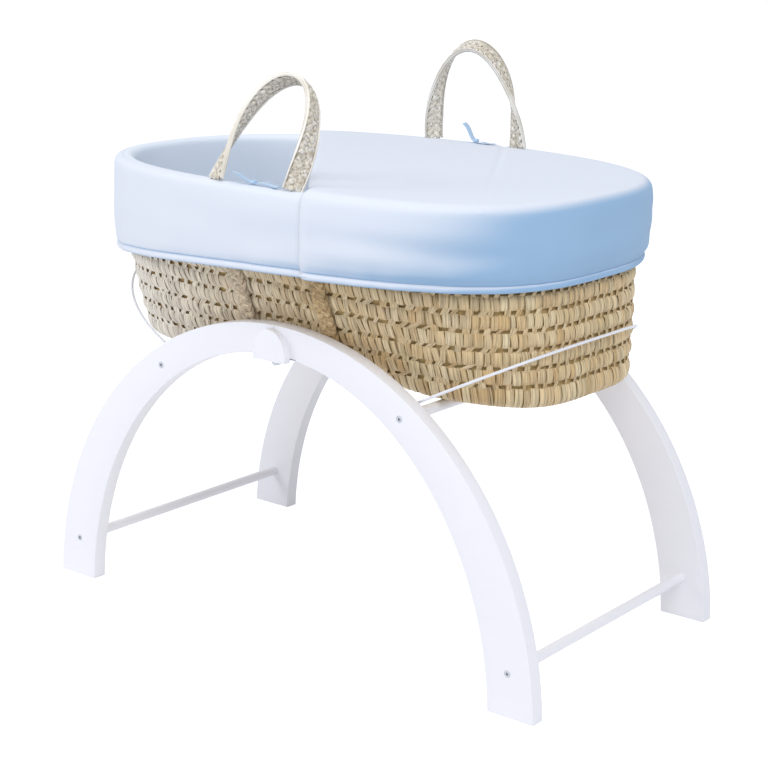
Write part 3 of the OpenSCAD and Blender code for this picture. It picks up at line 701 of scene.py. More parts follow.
def lay_row(row):
    """The strips of one row of the wall, and the tabs that tie it to the next."""
    bm = new_batch()
    t = WALL_LOW_T + ROW_T * (row + 0.5)
    count = round(wall_round / (STRIP_W * MM))
    step = 2 * math.pi / count
    cuts = even_angles(lambda angle: wall_place(angle, t, 0.0), count)
    cuts = [cut + UNEVEN_CUT * step * wobble(row, i, 0.2) for i, cut in enumerate(cuts)]
    cuts.append(cuts[0] + 2 * math.pi)
    for i in range(count):
        gap = UNEVEN_GAP * step * (1.0 + wobble(row, i, 6.3))
        lean = -UNEVEN_GAP * step * (1.0 + 3.0 * wobble(row, i, 2.2))
        tone = leaf_tone(row, i, 5.1)
        strip = wall_strip(row, cuts[i] + gap, cuts[i + 1] - gap, lean, UNEVEN_LIFT * wobble(row, i, 3.7),
                           UNEVEN_END * wobble(row, i, 4.9))
        add_strip(bm, strip, lambda b: tone, 4, 6)
    if row < ROWS - 1:
        tabs = round(wall_round / (TAB_PITCH * MM))
        for i, middle in enumerate(even_angles(lambda angle: wall_place(angle, t, 0.0), tabs)):
            half = math.pi * TAB_W * MM / wall_round * (1.0 + 0.35 * wobble(row, i, 8.8))
            shift = 0.5 * math.pi / tabs * wobble(row, i, 9.4) + row * math.pi / tabs
            lean = 0.3 * math.pi / tabs * (1.0 + 1.5 * wobble(row, i, 1.6))
            tone = leaf_tone(row, i, 7.7)
            add_strip(bm, wall_tab(row, middle + shift, half, lean), lambda b: tone, 2, 3)
    return bm


wall_rows = [lay_row(row) for row in range(ROWS)]
print("wall:", sum(len(bm.faces) for bm in wall_rows), "faces in", ROWS, "rows")

# %% Lay the strips of the base
BASE_ROW, BASE_SHARE = 21.0, 0.46
BASE_CROWN, BASE_BELLY, BASE_SINK = 1.0, 1.6, 2.6
BASE_EDGE = BASE_ROUND * 0.8


def base_place(angle, inset, down):
    """Point of the flat underside, inset millimetres in from the wall's foot."""
    half_l, half_w = BASE_L / 2 - inset, BASE_W / 2 - inset
    return oval_place(angle, half_l, max(half_w, 2.0), 0.0, (BASE_Z - down, 0.0, 0.0))


def base_strip(inset, start, end):
    """Place function of a strip that wraps one ring of the base."""
    def place(a, b):
        crown = BASE_CROWN * (1.0 - a ** 4) + BASE_BELLY * (1.0 - abs(b) ** 3)
        angle = mix(start, end, (a + 1) / 2)
        return domed(base_place(angle, inset - BASE_SHARE * BASE_ROW * b, crown - BASE_SINK), 1.0)
    return place


def lay_ring(inset):
    """One ring of the coiled base, seen from below."""
    bm = new_batch()
    count = round(length_round(lambda angle: base_place(angle, inset, 0.0)) / (STRIP_W * MM))
    cuts = even_angles(lambda angle: base_place(angle, inset, 0.0), count) + [2 * math.pi]
    for i in range(count):
        tone = leaf_tone(inset, i, 1.3)
        add_strip(bm, base_strip(inset, cuts[i], cuts[i + 1]), lambda b: tone, 3, 4)
    return bm


ring_count = int((BASE_W / 2 - BASE_EDGE) / BASE_ROW)
base_rings = [lay_ring(BASE_EDGE + BASE_ROW * (i + 0.5)) for i in range(ring_count)]
weave = finish_mesh(join_batches(wall_rows + base_rings), "palm_weave", palm_leaf, smooth=70.0)
end_piece(weave, "basket", "palm", "palm_basket")
print("weave:", len(weave.data.polygons), "faces")

# %% Loft the rope behind the strips
WALL_T, ROPE_SIDES = 9.0, 120
EDGE_UP, ROPE_IN = 3.0, 3.0
ROW_PROFILE = ((0.0, -5.6), (0.1, -4.6), (0.2, -3.2), (0.5, -2.4), (0.8, -3.2), (0.9, -4.6))


def core_rings():
    """Rings of the shell: underside, rounded edge, rows with their grooves, rim, inside and floor."""
    angles = [2 * math.pi * i / ROPE_SIDES for i in range(ROPE_SIDES)]

    def base_ring(inset, down):
        return [domed(base_place(a, inset, down), 1.0) for a in angles]

    rings = [base_ring(inset, -1.6) for inset in (140.0, 70.0, BASE_ROUND + 2.0)]
    rings.append([wall_domed(a, EDGE_UP / BASKET_H, -tucked(EDGE_UP) - ROPE_IN) for a in angles])
    for row in range(ROWS):
        for part, out in ROW_PROFILE:
            rings.append([wall_domed(a, WALL_LOW_T + ROW_T * (row + part), out) for a in angles])
    rings.append([wall_place(a, 1.0, -ROPE_IN) for a in angles])
    rings += [[wall_place(a, t, -WALL_T - 2.0) for a in angles] for t in (1.0, 0.7, 0.4, 0.12)]
    return rings + [base_ring(inset, -WALL_T) for inset in (30.0, 90.0, 145.0)]


core = finish_mesh(skin(core_rings(), caps=True), "palm_rope", palm_core, smooth=80.0)
end_piece(core, "basket", "palm")
print("rope:", len(core.data.polygons), "faces")

# %% [markdown]
# ## Jersey
# The dressing and the coverlet are cotton jersey quilted to a thin wadding. Jersey is knitted, so up close
# it has rows of fine loops, too fine for the picture at 0.6 mm, so they are drawn at 1.5 mm. Its colour
# also holds painted light: it is paler where the cloth faces up, to the head end and front, where the light
# falls, and bluer where it faces away, as at the foot end. The lining is a paler copy, painted light inside.

# %% Jersey finish
# The way the cloth faces where its colour takes the most painted light: up, to the head end and front.
PAINTED_LIGHT_WAY = (-0.5, -0.5, 0.7)


def make_jersey(name, low, high, pale):
    """Knitted cotton jersey: fine loops, soft mottling, and painted light that pales the side facing the
    light.
    """
    jersey = new_finish(name)
    coords = add_node(jersey, "ShaderNodeTexCoord")
    place = coords.outputs["Object"]
    loops = add_node(jersey, "ShaderNodeTexNoise",
                     inputs={"Vector": place, "Scale": cells(1.54), "Detail": 1.0})
    soft = add_node(jersey, "ShaderNodeTexNoise",
                    inputs={"Vector": place, "Scale": cells(111.0), "Detail": 3.0})
    tone = add_node(jersey, "ShaderNodeMix", {"data_type": "RGBA"},
                    {"Factor": soft.outputs["Fac"], "A": colour(low), "B": colour(high)})
    # Painted light: the colour turns to the pale tone where the cloth faces the light, up and to the head
    # end.
    facing_light = add_node(jersey, "ShaderNodeVectorMath", {"operation": "DOT_PRODUCT"},
                       {0: coords.outputs["Normal"], 1: PAINTED_LIGHT_WAY})
    painted_light_share = add_node(jersey, "ShaderNodeMapRange", {"interpolation_type": "SMOOTHSTEP"},
                   {"Value": facing_light.outputs["Value"], "From Min": -0.25, "From Max": 0.6})
    painted_light_tone = add_node(jersey, "ShaderNodeMix", {"data_type": "RGBA"},
                      {"Factor": painted_light_share.outputs["Result"], "A": tone.outputs["Result"], "B": colour(pale)})
    dents = add_node(jersey, "ShaderNodeBump",
                     inputs={"Height": soft.outputs["Fac"], "Strength": 0.18, "Distance": 6.0 * MM})
    knit = add_node(jersey, "ShaderNodeBump",
                    inputs={"Height": loops.outputs["Fac"], "Strength": 0.12, "Distance": 0.6 * MM,
                            "Normal": dents.outputs["Normal"]})
    shader = add_node(jersey, "ShaderNodeBsdfPrincipled",
                      inputs={"Base Color": painted_light_tone.outputs["Result"], "Roughness": 0.9, "Sheen Weight": 0.15,
                              "Sheen Roughness": 0.5, "Specular IOR Level": 0.2,
                              "Normal": knit.outputs["Normal"]})
    add_node(jersey, "ShaderNodeOutputMaterial", inputs={"Surface": shader.outputs["BSDF"]})
    return jersey


# The last colour of each jersey is the painted light on the side that faces the light.
blue_jersey = make_jersey("blue_jersey", "#99BDDF", "#A3C4E3", "#E4EAF4")
# The lining is a paler copy of the jersey: painted light for the inside of the basket, which lies in shade.
painted_light_lining = make_jersey("painted_light_lining", "#E0ECFA", "#E6F0FB", "#EDF4FD")
white_cotton = make_jersey("white_cotton", "#EAEFF7", "#F2F5FA", "#F8F8FA")
print("made", blue_jersey.name, painted_light_lining.name, white_cotton.name)

# %% [markdown]
# ## The dressing
# The dressing is one padded sleeve: a lining down the inside of the wall, a soft roll over the rim, and a
# skirt down the outside with a stitched hem. It is lofted from the basket's own oval, ring after ring, and
# the folds are vertex moves: long shallow folds along the skirt, and small puckers where the hem's elastic
# draws it in.

# %% Loft the dressing
SIDES = 200
PAD_T, STRAP_ROOM = 7.0, 8.0
SKIRT_OUT = STRAP_ROOM + PAD_T
LINING_IN = WALL_T + 0.6 + PAD_T + 2.5
HEM_IN, HEM_BAND = 2.5, 9.0
SKIRT_LEVELS = (0.84, 0.77, 0.7, 0.62, 0.54, 0.46, 0.38, 0.3)
LONG_FOLD, PUCKER, FOOT_DRAW = 5.0, 1.6, 6.0
cloth_angles = even_angles(lambda angle: skirt_place(angle, 0.5, SKIRT_OUT), SIDES)


def foot_share(place):
    """0 on the head half and 1 at the foot end, where the cloth is drawn in most."""
    return clamp(place.x / 0.25)


def folds(place, f, seed):
    """How far the cloth swells, in millimetres: long folds, puckers, and the elastic at the foot end."""
    share = foot_share(place)
    long_fold = noise.noise(Vector((place.x * 6.0, place.y * 6.0, place.z * 34.0))) * mix(0.3, 1.0, share)
    pucker = noise.noise(Vector((place.x * 38.0, place.y * 38.0 + seed, place.z * 6.0)))
    near_hem = max(0.0, (f - 0.6) / 0.4)
    swell = LONG_FOLD * long_fold * math.sin(math.pi * clamp(f)) + PUCKER * pucker * near_hem
    return swell - FOOT_DRAW * share * near_hem ** 1.5


def skirt_ring(f, out, up=0.0, seed=0.0):
    """One ring of a skirt with its folds."""
    ring = []
    for angle in cloth_angles:
        swell = folds(skirt_place(angle, f, out, up), f, seed)
        ring.append(skirt_place(angle, f, out + swell, up))
    return ring


def hem_rings(out, drop, seed):
    """Rings round a stitched hem: its inside, its edge, the flat band and the groove of its stitching."""
    profile = ((-4.0, 2.0), (-2.6, -0.4), (-0.8, -0.3), (0.2, 1.8), (0.5, HEM_BAND * 0.55),
               (-0.2, HEM_BAND * 0.86), (-3.6, HEM_BAND), (-0.2, HEM_BAND * 1.14), (0.2, HEM_BAND * 1.4))
    return [skirt_ring(1.0, out + outward, up - drop, seed) for outward, up in profile]


def wall_ring(t, out):
    """One ring that follows the woven wall."""
    return [wall_place(angle, t, out) for angle in cloth_angles]


def rim_roll(out_edge, in_edge, rise, steps):
    """Rings over the rim, from the skirt's outside to the lining's inside, on a flattened half circle."""
    rings = []
    for i in range(steps + 1):
        turn = math.pi * i / steps
        out = mix(in_edge, out_edge, (1.0 + math.cos(turn)) / 2)
        up = rise * (math.sin(turn) ** 0.8 - 1.0)
        rings.append([skirt_place(angle, 0.0, out, up) for angle in cloth_angles])
    return rings


def dressing_rings():
    """Rings from the hem's inside, down round its edge, up the skirt, over the rim and down the lining."""
    rings = [skirt_ring(0.9, SKIRT_OUT - PAD_T)] + hem_rings(SKIRT_OUT - HEM_IN, 0.0, 0.0)
    rings += [skirt_ring(f, SKIRT_OUT - 1.5 + 1.5 * math.sin(math.pi * f))
              for f in (*SKIRT_LEVELS, 0.23)]
    rings += rim_roll(SKIRT_OUT - 1.2, -LINING_IN + 2.0, CREST_RISE + 3.0, 8)
    rings += [wall_ring(t, -LINING_IN) for t in (0.93, 0.8, 0.65, 0.5, 0.35, 0.22, 0.12, 0.05)]
    rings += [wall_ring(t, -LINING_IN + PAD_T - 1.0) for t in (0.05, 0.2, 0.5, 0.93)]
    return rings


def soften(piece):
    """Rounds a piece with a subdivision surface."""
    modifier = piece.modifiers.new("soften", "SUBSURF")
    modifier.levels = 1
    modifier.render_levels = 1


dressing = finish_mesh(skin(dressing_rings()), "padded_dressing", blue_jersey, painted_light_lining, smooth=180.0)
# Faces that look inwards above the hem's height take the paler lining, the painted light inside the basket.
for face in dressing.data.polygons:
    outwards = (face.center.xy - Vector((RIM_SHIFT * MM, 0.0))).normalized().dot(face.normal.xy)
    face.material_index = 1 if outwards < -0.1 and face.center.z > HEM_Z * MM - 0.1 else 0
soften(dressing)
end_piece(dressing, "basket", "blue_jersey", "dressing")
print("dressing:", len(dressing.data.polygons), "faces")

# %% [markdown]
# ## The coverlet
# The coverlet is a second padded layer over the foot end, with its own skirt and hem. Its front corner is
# turned back, so its head edge runs straight up the skirt and then on a slant to the head end. It is lofted
# whole over the basket, as it was sewn to fit, and then cut along that line, and the cut edge is given its
# thickness. One soft crease crosses its top, where it was folded in its packet.

# %% Loft the coverlet
COVER_T, LAYER_GAP, COVER_SAG, COVER_DROP = 6.0, 0.6, 6.0, 1.0
COVER_OUT = SKIRT_OUT + LAYER_GAP + COVER_T
COVER_SEED = 3.1
CREASE_FROM, CREASE_TO = Vector((26.0, 262.0, 0.0)) * MM, Vector((340.0, -247.0, 0.0)) * MM
CREASE_W, CREASE_DEEP, CREASE_FADE, CREASE_END = 4.5 * MM, 2.0 * MM, 380.0 * MM, 100.0 * MM
TOP_LOW = (CREST_Z - 12.0) * MM
ROLL_IN, ROLL_DOWN, ROLL_STEPS = 16.0, 11.0, 6
TOP_EDGE, TOP_STEP, TOP_RINGS = 0.97, 0.03, 30


def cut_faces(bm, faces, place, normal):
    """Cuts those faces where a plane crosses them."""
    edges = {e for f in faces for e in f.edges}
    verts = {v for f in faces for v in f.verts}
    bmesh.ops.bisect_plane(bm, geom=list(verts) + list(edges) + faces, dist=SAME_PLACE, plane_co=place,
                           plane_no=normal)


def press_crease(bm):
    """Cuts loops along the crease and lets the middle ones down."""
    across = (CREASE_TO - CREASE_FROM).cross(Vector((0.0, 0.0, 1.0))).normalized()
    for off in (-2.0, -1.0, 0.0, 1.0, 2.0):
        top = [f for f in bm.faces if min(v.co.z for v in f.verts) > TOP_LOW]
        cut_faces(bm, top, CREASE_FROM + across * off * CREASE_W, across)
    for vert in [v for v in bm.verts if v.co.z > TOP_LOW]:
        off = (vert.co - CREASE_FROM).dot(across) / CREASE_W
        left = clamp(((CREASE_TO - vert.co).xy.length - CREASE_END) / CREASE_FADE)
        vert.co.z -= CREASE_DEEP * left * math.exp(-off * off)


def top_ring(q, up):
    """One ring of the coverlet's top, q of the crest's size, with its sag."""
    heights = (CREST_Z + up - COVER_SAG * (1.0 - q * q), CREST_SLOPE * q, CREST_DIP * q * q)
    return [oval_place(angle, q * RIM_L / 2, q * RIM_W / 2, 1.0, heights) for angle in cloth_angles]


def coverlet_rings():
    """Rings from the hem up over the crest to the middle of the top."""
    top = LAYER_GAP + COVER_T
    rings = hem_rings(COVER_OUT - HEM_IN / 2, COVER_DROP, COVER_SEED)
    rings += [skirt_ring(f, COVER_OUT - 1.0 + math.sin(math.pi * f), 0.0, COVER_SEED)
              for f in (*SKIRT_LEVELS, 0.22)]
    for i in range(1, ROLL_STEPS + 1):
        turn = math.pi / 2 * i / ROLL_STEPS
        out = COVER_OUT - 1.0 - ROLL_IN * (1.0 - math.cos(turn))
        up = (top + ROLL_DOWN) * math.sin(turn) - ROLL_DOWN
        rings.append([skirt_place(angle, 0.0, out, up) for angle in cloth_angles])
    rings += [top_ring(TOP_EDGE - TOP_STEP * i, top) for i in range(TOP_RINGS)]
    return rings


cover_bm = skin(coverlet_rings())
middle = [v for v in cover_bm.verts if v.is_boundary and v.co.z > (CREST_Z - 30.0) * MM]
bmesh.ops.contextual_create(cover_bm, geom=middle)
press_crease(cover_bm)
print("coverlet, uncut:", len(cover_bm.faces), "faces")

# %% Cut the coverlet and give it its thickness
TURN_X = 84.0 * MM
TURN_Y = (-2.0 - RIM_W / 2) * MM
TURN_HEAD = Vector((-311.0, 212.0)) * MM
SEWN_DOWN, SLIVER = 3.0 * MM, 4.0 * MM
EDGE_CREASE = 0.7


def past_cut(place):
    """How far a place lies past the cut, to the head end: along X on the skirt, across the slant on top."""
    if place.y < TURN_Y:
        return TURN_X - place.x
    run = Vector((TURN_HEAD.x - TURN_X, TURN_HEAD.y - TURN_Y)).normalized()
    return (TURN_X - place.x) * run.y + (place.y - TURN_Y) * run.x


def cut_edge(bm):
    """The vertices along the cut."""
    return [v for v in bm.verts if v.is_boundary and abs(past_cut(v.co)) < NEAR]


def weld_slivers(bm):
    """Welds what the cut left too close together on the slant, so that its edge stays even."""
    edge = [v for v in cut_edge(bm) if v.co.y > TURN_Y + SLIVER]
    bmesh.ops.remove_doubles(bm, verts=edge, dist=SLIVER)
    edge = [v for v in cut_edge(bm) if v.co.y > TURN_Y + SLIVER]
    near = [v for v in bm.verts if v.co.y > TURN_Y + SLIVER and abs(past_cut(v.co)) < SLIVER]
    twins = bmesh.ops.find_doubles(bm, verts=near, keep_verts=edge, dist=SLIVER)
    bmesh.ops.weld_verts(bm, targetmap=twins["targetmap"])


def cut_coverlet(bm):
    """Cuts the cloth along the front of the skirt and along the slant, and drops what lies past the cut."""
    across = Vector((TURN_HEAD.y - TURN_Y, TURN_X - TURN_HEAD.x, 0.0)).normalized()
    corner = Vector((TURN_X, TURN_Y, 0.0))
    for normal, on_skirt in ((Vector((1.0, 0.0, 0.0)), True), (across, False)):
        faces = [f for f in bm.faces if any((v.co.y < TURN_Y) == on_skirt for v in f.verts)]
        cut_faces(bm, faces, corner, normal)
    lost = [f for f in bm.faces if past_cut(f.calc_center_median()) > 0.0]
    bmesh.ops.delete(bm, geom=lost, context="FACES")
    weld_slivers(bm)
    bm.normal_update()
    for vert in cut_edge(bm):
        vert.co -= vert.normal * SEWN_DOWN


cut_coverlet(cover_bm)
coverlet = finish_mesh(cover_bm, "padded_coverlet", blue_jersey, smooth=180.0)
thick = coverlet.modifiers.new("wadding", "SOLIDIFY")
thick.thickness = COVER_T * MM * 0.8
thick.offset = -1.0
thick.edge_crease_outer = EDGE_CREASE
thick.edge_crease_inner = EDGE_CREASE
soften(coverlet)
end_piece(coverlet, "basket", "blue_jersey", "coverlet")
print("coverlet:", len(coverlet.data.polygons), "faces")

# %% [markdown]
# ## The mattress
# A slab of foam in a cotton sheet lies on the base. Foam under a drawn sheet is crowned: its top swells in
# the middle and its edges pull in above and below. The slab is a loft of the base's oval with that profile.

# %% Loft the mattress
MATTRESS_L, MATTRESS_W, MATTRESS_T, MATTRESS_CROWN = 703.0, 301.0, 36.0, 6.0
MATTRESS_Z = BASE_Z + WALL_T + LAYER_GAP
MATTRESS_SIDES = 96
MATTRESS_SIDE = ((0.0, 0.4), (0.0, 0.93), (0.06, 0.965), (0.2, 0.985), (0.5, 1.0),
                 (0.8, 0.985), (0.94, 0.965), (1.0, 0.93))


def mattress_rings():
    """Rings from the middle of the underside round the drawn-in edges to the middle of the crown."""
    rings = []
    for rise, q in MATTRESS_SIDE + tuple((1.0, q) for q in (0.86, 0.7, 0.5, 0.3, 0.1)):
        crown = MATTRESS_CROWN * (1.0 - q * q) if rise == 1.0 else 0.0
        heights = (MATTRESS_Z + MATTRESS_T * rise + crown, 0.0, 0.0)
        angles = [2 * math.pi * i / MATTRESS_SIDES for i in range(MATTRESS_SIDES)]
        ring = [oval_place(a, q * MATTRESS_L / 2, q * MATTRESS_W / 2, 0.0, heights) for a in angles]
        rings.append([domed(place, 1.0 - 0.7 * rise) for place in ring])
    return rings


mattress = finish_mesh(skin(mattress_rings(), caps=True), "foam_mattress", white_cotton, smooth=180.0)
end_piece(mattress, "basket", "cotton", "mattress")
print("mattress:", len(mattress.data.polygons), "faces")

# %% [markdown]
# ## Plaits
# Handles and straps are flat plaits of palm leaf. In a flat plait each strand swings from edge to edge
# while it passes over one neighbour and under the next, so its path is a sine across the plait and a sine
# of twice that frequency through it. All strands share one path, each a little behind the last. The
# handles, which a hand wears, also have a round cord bound along each edge.

# %% Plait strands along a path
STRAND_LAP, STRAND_FLAT = 1.7, 0.45
STEPS_PER_PITCH = 24
THIN_END = 0.3


def along_path(points):
    """A function for the frame and direction at a distance along a path, and the length of that path."""
    reach = [0.0]
    for (a, _, _), (b, _, _) in zip(points, points[1:]):
        reach.append(reach[-1] + (b - a).length)

    def at(distance):
        i = min(max(bisect_right(reach, distance) - 1, 0), len(points) - 2)
        part = (distance - reach[i]) / (reach[i + 1] - reach[i])
        place, side, out = (a.lerp(b, part) for a, b in zip(points[i], points[i + 1]))
        return place, side.normalized(), out.normalized(), (points[i + 1][0] - points[i][0]).normalized()
    return at, reach[-1]


def end_taper(distance, thick):
    """Share of its thickness that a plait keeps near its end, which is sewn round."""
    short = max(0.0, 1.0 - 2.0 * distance / thick)
    return max(THIN_END, math.sqrt(1.0 - short * short))


def strand_place(at, length, width, thick, pitch, turn, strands):
    """Place function of one strand: a runs round its section and b along it."""
    strand_w, strand_t = width * STRAND_LAP / strands, thick * STRAND_FLAT
    swing, lift = (width - strand_w) / 2, (thick - strand_t) / 2

    def place(a, b):
        distance = length * (b + 1) / 2
        phase = 2 * math.pi * distance / pitch + turn
        flat = end_taper(min(distance, length - distance), thick)
        middle, side, out, along = at(distance)
        lean = swing * math.cos(phase) * 2 * math.pi / pitch
        broad = (side - along * lean).normalized()
        middle = middle + side * swing * math.sin(phase) + out * flat * lift * math.sin(2 * phase)
        edge = broad * strand_w / 2 * math.cos(math.pi * a)
        return middle + edge + out * flat * strand_t / 2 * math.sin(math.pi * a)
    return place


def cord_place(at, length, offset, broad, thick):
    """Place function of a straight cord beside the middle of the path."""
    def place(a, b):
        distance = length * (b + 1) / 2
        middle, side, out, _ = at(distance)
        flat = end_taper(min(distance, length - distance), thick)
        beside = side * (offset + broad / 2 * math.cos(math.pi * a))
        return middle + beside + out * flat * thick / 2 * math.sin(math.pi * a)
    return place


def plait(points, width, thick, pitch, seed, strands=5, cord=0.0):
    """Strands along a path of (point, side, out), as one batch. cord is the breadth of the bound edges."""
    at, length = along_path(points)
    bm = new_batch()
    steps = round(STEPS_PER_PITCH * length / pitch)
    for k in range(strands):
        turn = 2 * math.pi * k / strands
        place = strand_place(at, length, width - 1.5 * cord, thick, pitch, turn, strands)
        add_strip(bm, place, lambda b: leaf_tone(seed, k, 2 * (b + 1) * length / pitch), 8, steps)
    for way in (-1, 1):
        if cord:
            place = cord_place(at, length, way * (width - cord) / 2, cord, thick * 0.8)
            add_strip(bm, place, lambda b: 1.0, 8, steps)
    bmesh.ops.remove_doubles(bm, verts=bm.verts[:], dist=SAME_PLACE)
    return bm


def direction(places, i):
    """Direction of a polyline at its point i."""
    return (places[min(i + 1, len(places) - 1)] - places[max(i - 1, 0)]).normalized()


print("a plait 9 mm thick keeps", round(end_taper(1.0, 9.0), 2), "of that 1 mm from its end")

# %% Plait the handles
HANDLE_W, HANDLE_T, FOOT_CLEAR = 29.5, 9.0, 0.5
HANDLE_PITCH, HANDLE_CORD, HANDLE_STEPS = 54.0, 3.2, 120
CREST_Y = RIM_W / 2 + (SKIRT_OUT - LINING_IN + 2.5) / 2


def crest_height(x, front):
    """Height of the layer that a handle or ribbon rests on. At the rear that is the coverlet."""
    u = (x - RIM_SHIFT) / (RIM_L / 2)
    layer = 0.0 if front else LAYER_GAP + COVER_T
    return CREST_Z + CREST_SLOPE * u + CREST_DIP * u * u + layer


def handle_arc(span, rise, full, skew):
    """Points along a handle's loop in its own plane, from foot to foot, leaning along X at its top."""
    foot = Vector((0.0, 0.0, -HANDLE_T / 2))
    ends = [Vector((way * span / 2, 0.0, 0.0)) for way in (-1, 1)]
    loop = []
    for a in [math.pi * i / HANDLE_STEPS for i in range(1, HANDLE_STEPS)]:
        loop.append(Vector((skew * math.sin(a) - span / 2 * math.cos(a), 0.0, rise * math.sin(a) ** full)))
    return [ends[0] + foot, ends[0]] + loop + [ends[1], ends[1] + foot]


def twist_at(share, twists):
    """Twist in degrees at a share of a handle's path, given at its first foot, its top and its last foot."""
    if share < 0.5:
        return mix(twists[0], twists[1], 2.0 * share)
    return mix(twists[1], twists[2], 2.0 * share - 1.0)


def handle_path(x, span, rise, full, lean, front, skew, twists):
    """Frames along a handle: flat to the wall at its legs, flat to the hand at its top, twisted a little."""
    ends = [crest_height(x + way * span / 2, front) + HANDLE_T / 2 + FOOT_CLEAR for way in (-1, 1)]
    tilt = Matrix.Rotation(math.atan2(ends[0] - ends[1], span), 4, "Y")
    lie = Matrix.Rotation(-math.radians(lean), 4, "X")
    stand = Matrix.Translation((x, -CREST_Y, sum(ends) / 2)) @ tilt @ lie
    stand = Matrix.Scale(MM, 4) @ (stand if front else Matrix.Diagonal((1.0, -1.0, 1.0, 1.0)) @ stand)
    turn = stand.to_3x3()
    places = handle_arc(span, rise, full, skew)
    frames = []
    for i, place in enumerate(places):
        along = direction(places, i)
        top = (max(place.z, 0.0) / rise) ** 0.75
        out = Vector((0.0, -1.0, 0.0)) * (1.0 - top) + along.cross(Vector((0.0, 1.0, 0.0))) * top
        twist = math.radians(twist_at(i / (len(places) - 1), twists))
        out = Matrix.Rotation(twist, 3, along) @ out.normalized()
        side = out.cross(along)
        frames.append((stand @ place, (turn @ side).normalized(), (turn @ out).normalized()))
    return frames


def make_handle(name, path, seed):
    """A plaited handle in the place of its solid."""
    bm = plait(path, HANDLE_W * MM, HANDLE_T * MM, HANDLE_PITCH * MM, seed, 5, HANDLE_CORD * MM)
    bmesh.ops.recalc_face_normals(bm, faces=bm.faces[:])
    handle = finish_mesh(bm, name + "_plait", bleached_leaf, smooth=70.0)
    return end_piece(handle, name, "plait", name)


front_path = handle_path(x=-10.0, span=136.0, rise=149.0, full=0.77, lean=29.0, front=True, skew=5.0,
                         twists=(-15, -5, -25))
rear_path = handle_path(x=-29.0, span=158.0, rise=144.0, full=0.98, lean=3.0, front=False, skew=-5.0,
                        twists=(-30, -25, 0))
front_plait = make_handle("front_handle", front_path, 2.3)
rear_plait = make_handle("rear_handle", rear_path, 6.1)
print("handles:", len(front_plait.data.polygons) + len(rear_plait.data.polygons), "faces")

# %% Plait the straps
STRAP_SPAN, STRAP_W, STRAP_T = 148.0, 28.0, 5.5
STRAP_PITCH, STRAP_RELIEF = 44.0, 9.0
STRAP_LOW_T, STRAP_RUN_T, STRAP_STEPS = 0.1, 0.85, 40


def wall_front(x, t):
    """Point of the front of the wall at x and height share t, in millimetres."""
    k = flare(t)
    u = (x - mix(BASE_SHIFT, RIM_SHIFT, k)) / (mix(BASE_L, RIM_L, k) / 2)
    n = mix(BASE_N, mix(HEAD_N, FOOT_N, 0.5), k)
    half_w = mix(BASE_W, RIM_W, k) / 2 * (1.0 - abs(u) ** n) ** (1.0 / n) * (1.0 + FOOT_SWELL * k * u)
    return Vector((x, -half_w, BASE_Z + BASKET_H * t + CREST_SLOPE * t * u + CREST_DIP * t * u * u))


def strap_path(x, front):
    """Frames down the wall, from under the skirt to the base."""
    flip = Vector((1.0, 1.0 if front else -1.0, 1.0))
    shares = [STRAP_LOW_T + STRAP_RUN_T * i / STRAP_STEPS for i in range(STRAP_STEPS + 1)]
    places = [wall_front(x, t) for t in shares]
    frames = []
    for i, place in enumerate(places):
        out = direction(places, i).cross(Vector((1.0, 0.0, 0.0))).normalized()
        out = out if out.y < 0.0 else -out
        lifted = place + out * (LAYER_GAP + STRAP_T / 2)
        frames.append((lifted * flip * MM, Vector((1.0, 0.0, 0.0)), out * flip))
    return frames


def make_straps(side, front, seed):
    """The two plaited straps of one side in the place of their solids."""
    batches = []
    for way in (-1, 1):
        path = strap_path(way * STRAP_SPAN / 2, front)
        batches.append(plait(path, STRAP_W * MM, STRAP_RELIEF * MM, STRAP_PITCH * MM, seed + way, 3))
    bm = join_batches(batches)
    bmesh.ops.recalc_face_normals(bm, faces=bm.faces[:])
    straps = finish_mesh(bm, side + "_strap_plaits", strap_leaf, smooth=70.0)
    return end_piece(straps, "basket", "plait", side + "_handle_straps")


front_straps = make_straps("front", True, 11.0)
rear_straps = make_straps("rear", False, 15.0)
print("straps:", len(front_straps.data.polygons) + len(rear_straps.data.polygons), "faces")

# %% [markdown]
# ## The ribbons
# A narrow satin ribbon ties the dressing to the basket between the legs of each handle. One of its tails
# lies along the crest and the other stands up a little from the knot, as a short stiff ribbon does. Both
# tails are one strip of cloth with a small thickness, and the knot is a squashed ball with a waist.

# %% Satin ribbon finish


def make_satin_ribbon():
    """Woven satin ribbon: smooth and slightly glossy, with fine ribs, drawn coarse enough to show."""
    satin = new_finish("satin_ribbon")
    place = add_node(satin, "ShaderNodeTexCoord").outputs["Object"]
    ribs = add_node(satin, "ShaderNodeTexNoise",
                    inputs={"Vector": place, "Scale": cells(1.11), "Detail": 1.0})
    ridges = add_node(satin, "ShaderNodeBump",
                      inputs={"Height": ribs.outputs["Fac"], "Strength": 0.1, "Distance": 0.3 * MM})
    shader = add_node(satin, "ShaderNodeBsdfPrincipled",
                      inputs={"Base Color": colour("#B0CDE8"), "Roughness": 0.42, "Sheen Weight": 0.3,
                              "Normal": ridges.outputs["Normal"]})
    add_node(satin, "ShaderNodeOutputMaterial", inputs={"Surface": shader.outputs["BSDF"]})
    return satin


satin_ribbon = make_satin_ribbon()
print("made", satin_ribbon.name)

# %% Tie the ribbons
RIBBON_W, RIBBON_T, KNOT_D = 10.0, 0.8, 12.0


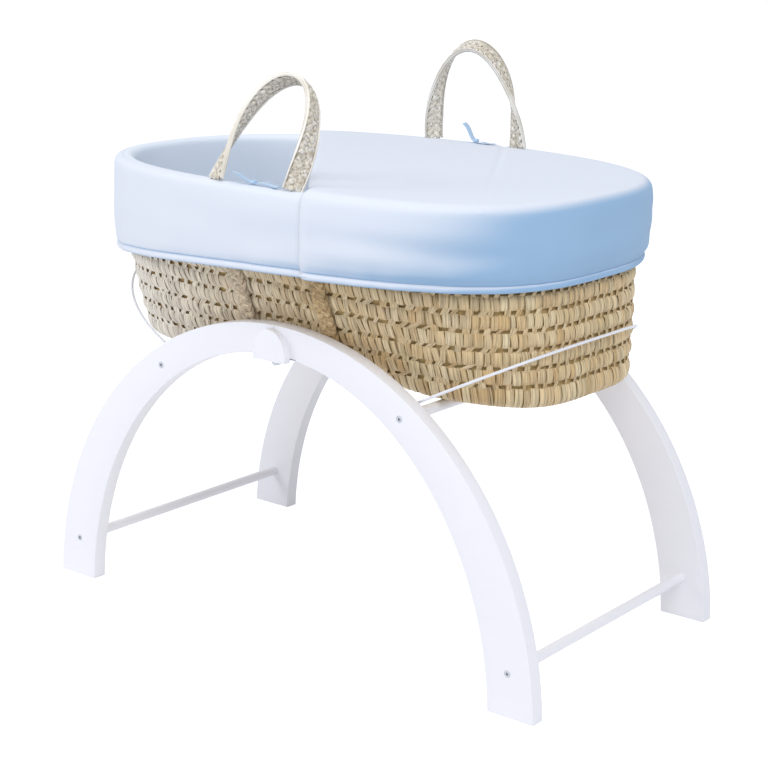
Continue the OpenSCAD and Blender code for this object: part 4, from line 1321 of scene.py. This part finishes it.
def ribbon_place(x, front, tails):
    """Place function of a ribbon across its knot: a runs across it and b from tail to tail."""
    flip = 1.0 if front else -1.0

    def place(a, b):
        reach, rise = tails[0] if b < 0.0 else tails[1]
        along = x + b * reach
        slack = 2.0 * math.sin(math.pi * abs(b)) + 1.2 * math.sin(7.0 * b) * abs(b) + rise * abs(b) ** 1.3
        waist = mix(0.45, 1.0, min(abs(b) * 5.0, 1.0))
        drift = 5.0 * math.sin(3.2 * b + 0.6) * abs(b)
        y = -CREST_Y + drift + a * waist * RIBBON_W / 2
        z = crest_height(along, front) + FOOT_CLEAR + RIBBON_T + slack + 0.8 * a * b
        return Vector((along, y * flip, z)) * MM
    return place


def make_ribbon(side, x, front, tails):
    """A ribbon and its knot. tails are the (reach, rise) of its tails to the head and to the foot."""
    bm = new_batch()
    add_strip(bm, ribbon_place(x, front, tails), lambda b: 0.5, 4, 48)
    bmesh.ops.recalc_face_normals(bm, faces=bm.faces[:])
    area = sum(face.calc_area() for face in bm.faces)
    ribbon = finish_mesh(bm, side + "_ribbon_tails", satin_ribbon, smooth=180.0)
    thickness = ribbon.modifiers.new("cloth", "SOLIDIFY")
    thickness.thickness = RIBBON_T * MM
    end_piece(ribbon, "basket", "ribbon", side + "_ribbon")
    ball = bmesh.new()
    bmesh.ops.create_uvsphere(ball, u_segments=20, v_segments=12, radius=KNOT_D / 2 * MM)
    middle = Vector((x, -CREST_Y if front else CREST_Y, crest_height(x, front) + KNOT_D * 0.3)) * MM
    for vert in ball.verts:
        waist = 1.0 - 0.25 * math.exp(-(vert.co.x / (1.6 * MM)) ** 2)
        vert.co = middle + Vector((vert.co.x * 0.8, vert.co.y * waist, vert.co.z * 0.6 * waist))
    knot = finish_mesh(ball, side + "_ribbon_knot", satin_ribbon, smooth=180.0)
    end_piece(knot, "basket", "ribbon")
    return ribbon


front_tie = make_ribbon("front", -12.0, True, ((33.0, 13.0), (46.0, 0.0)))
rear_tie = make_ribbon("rear", -27.0, False, ((25.0, 28.0), (34.0, 0.0)))
print("ribbons:", front_tie.name, rear_tie.name)
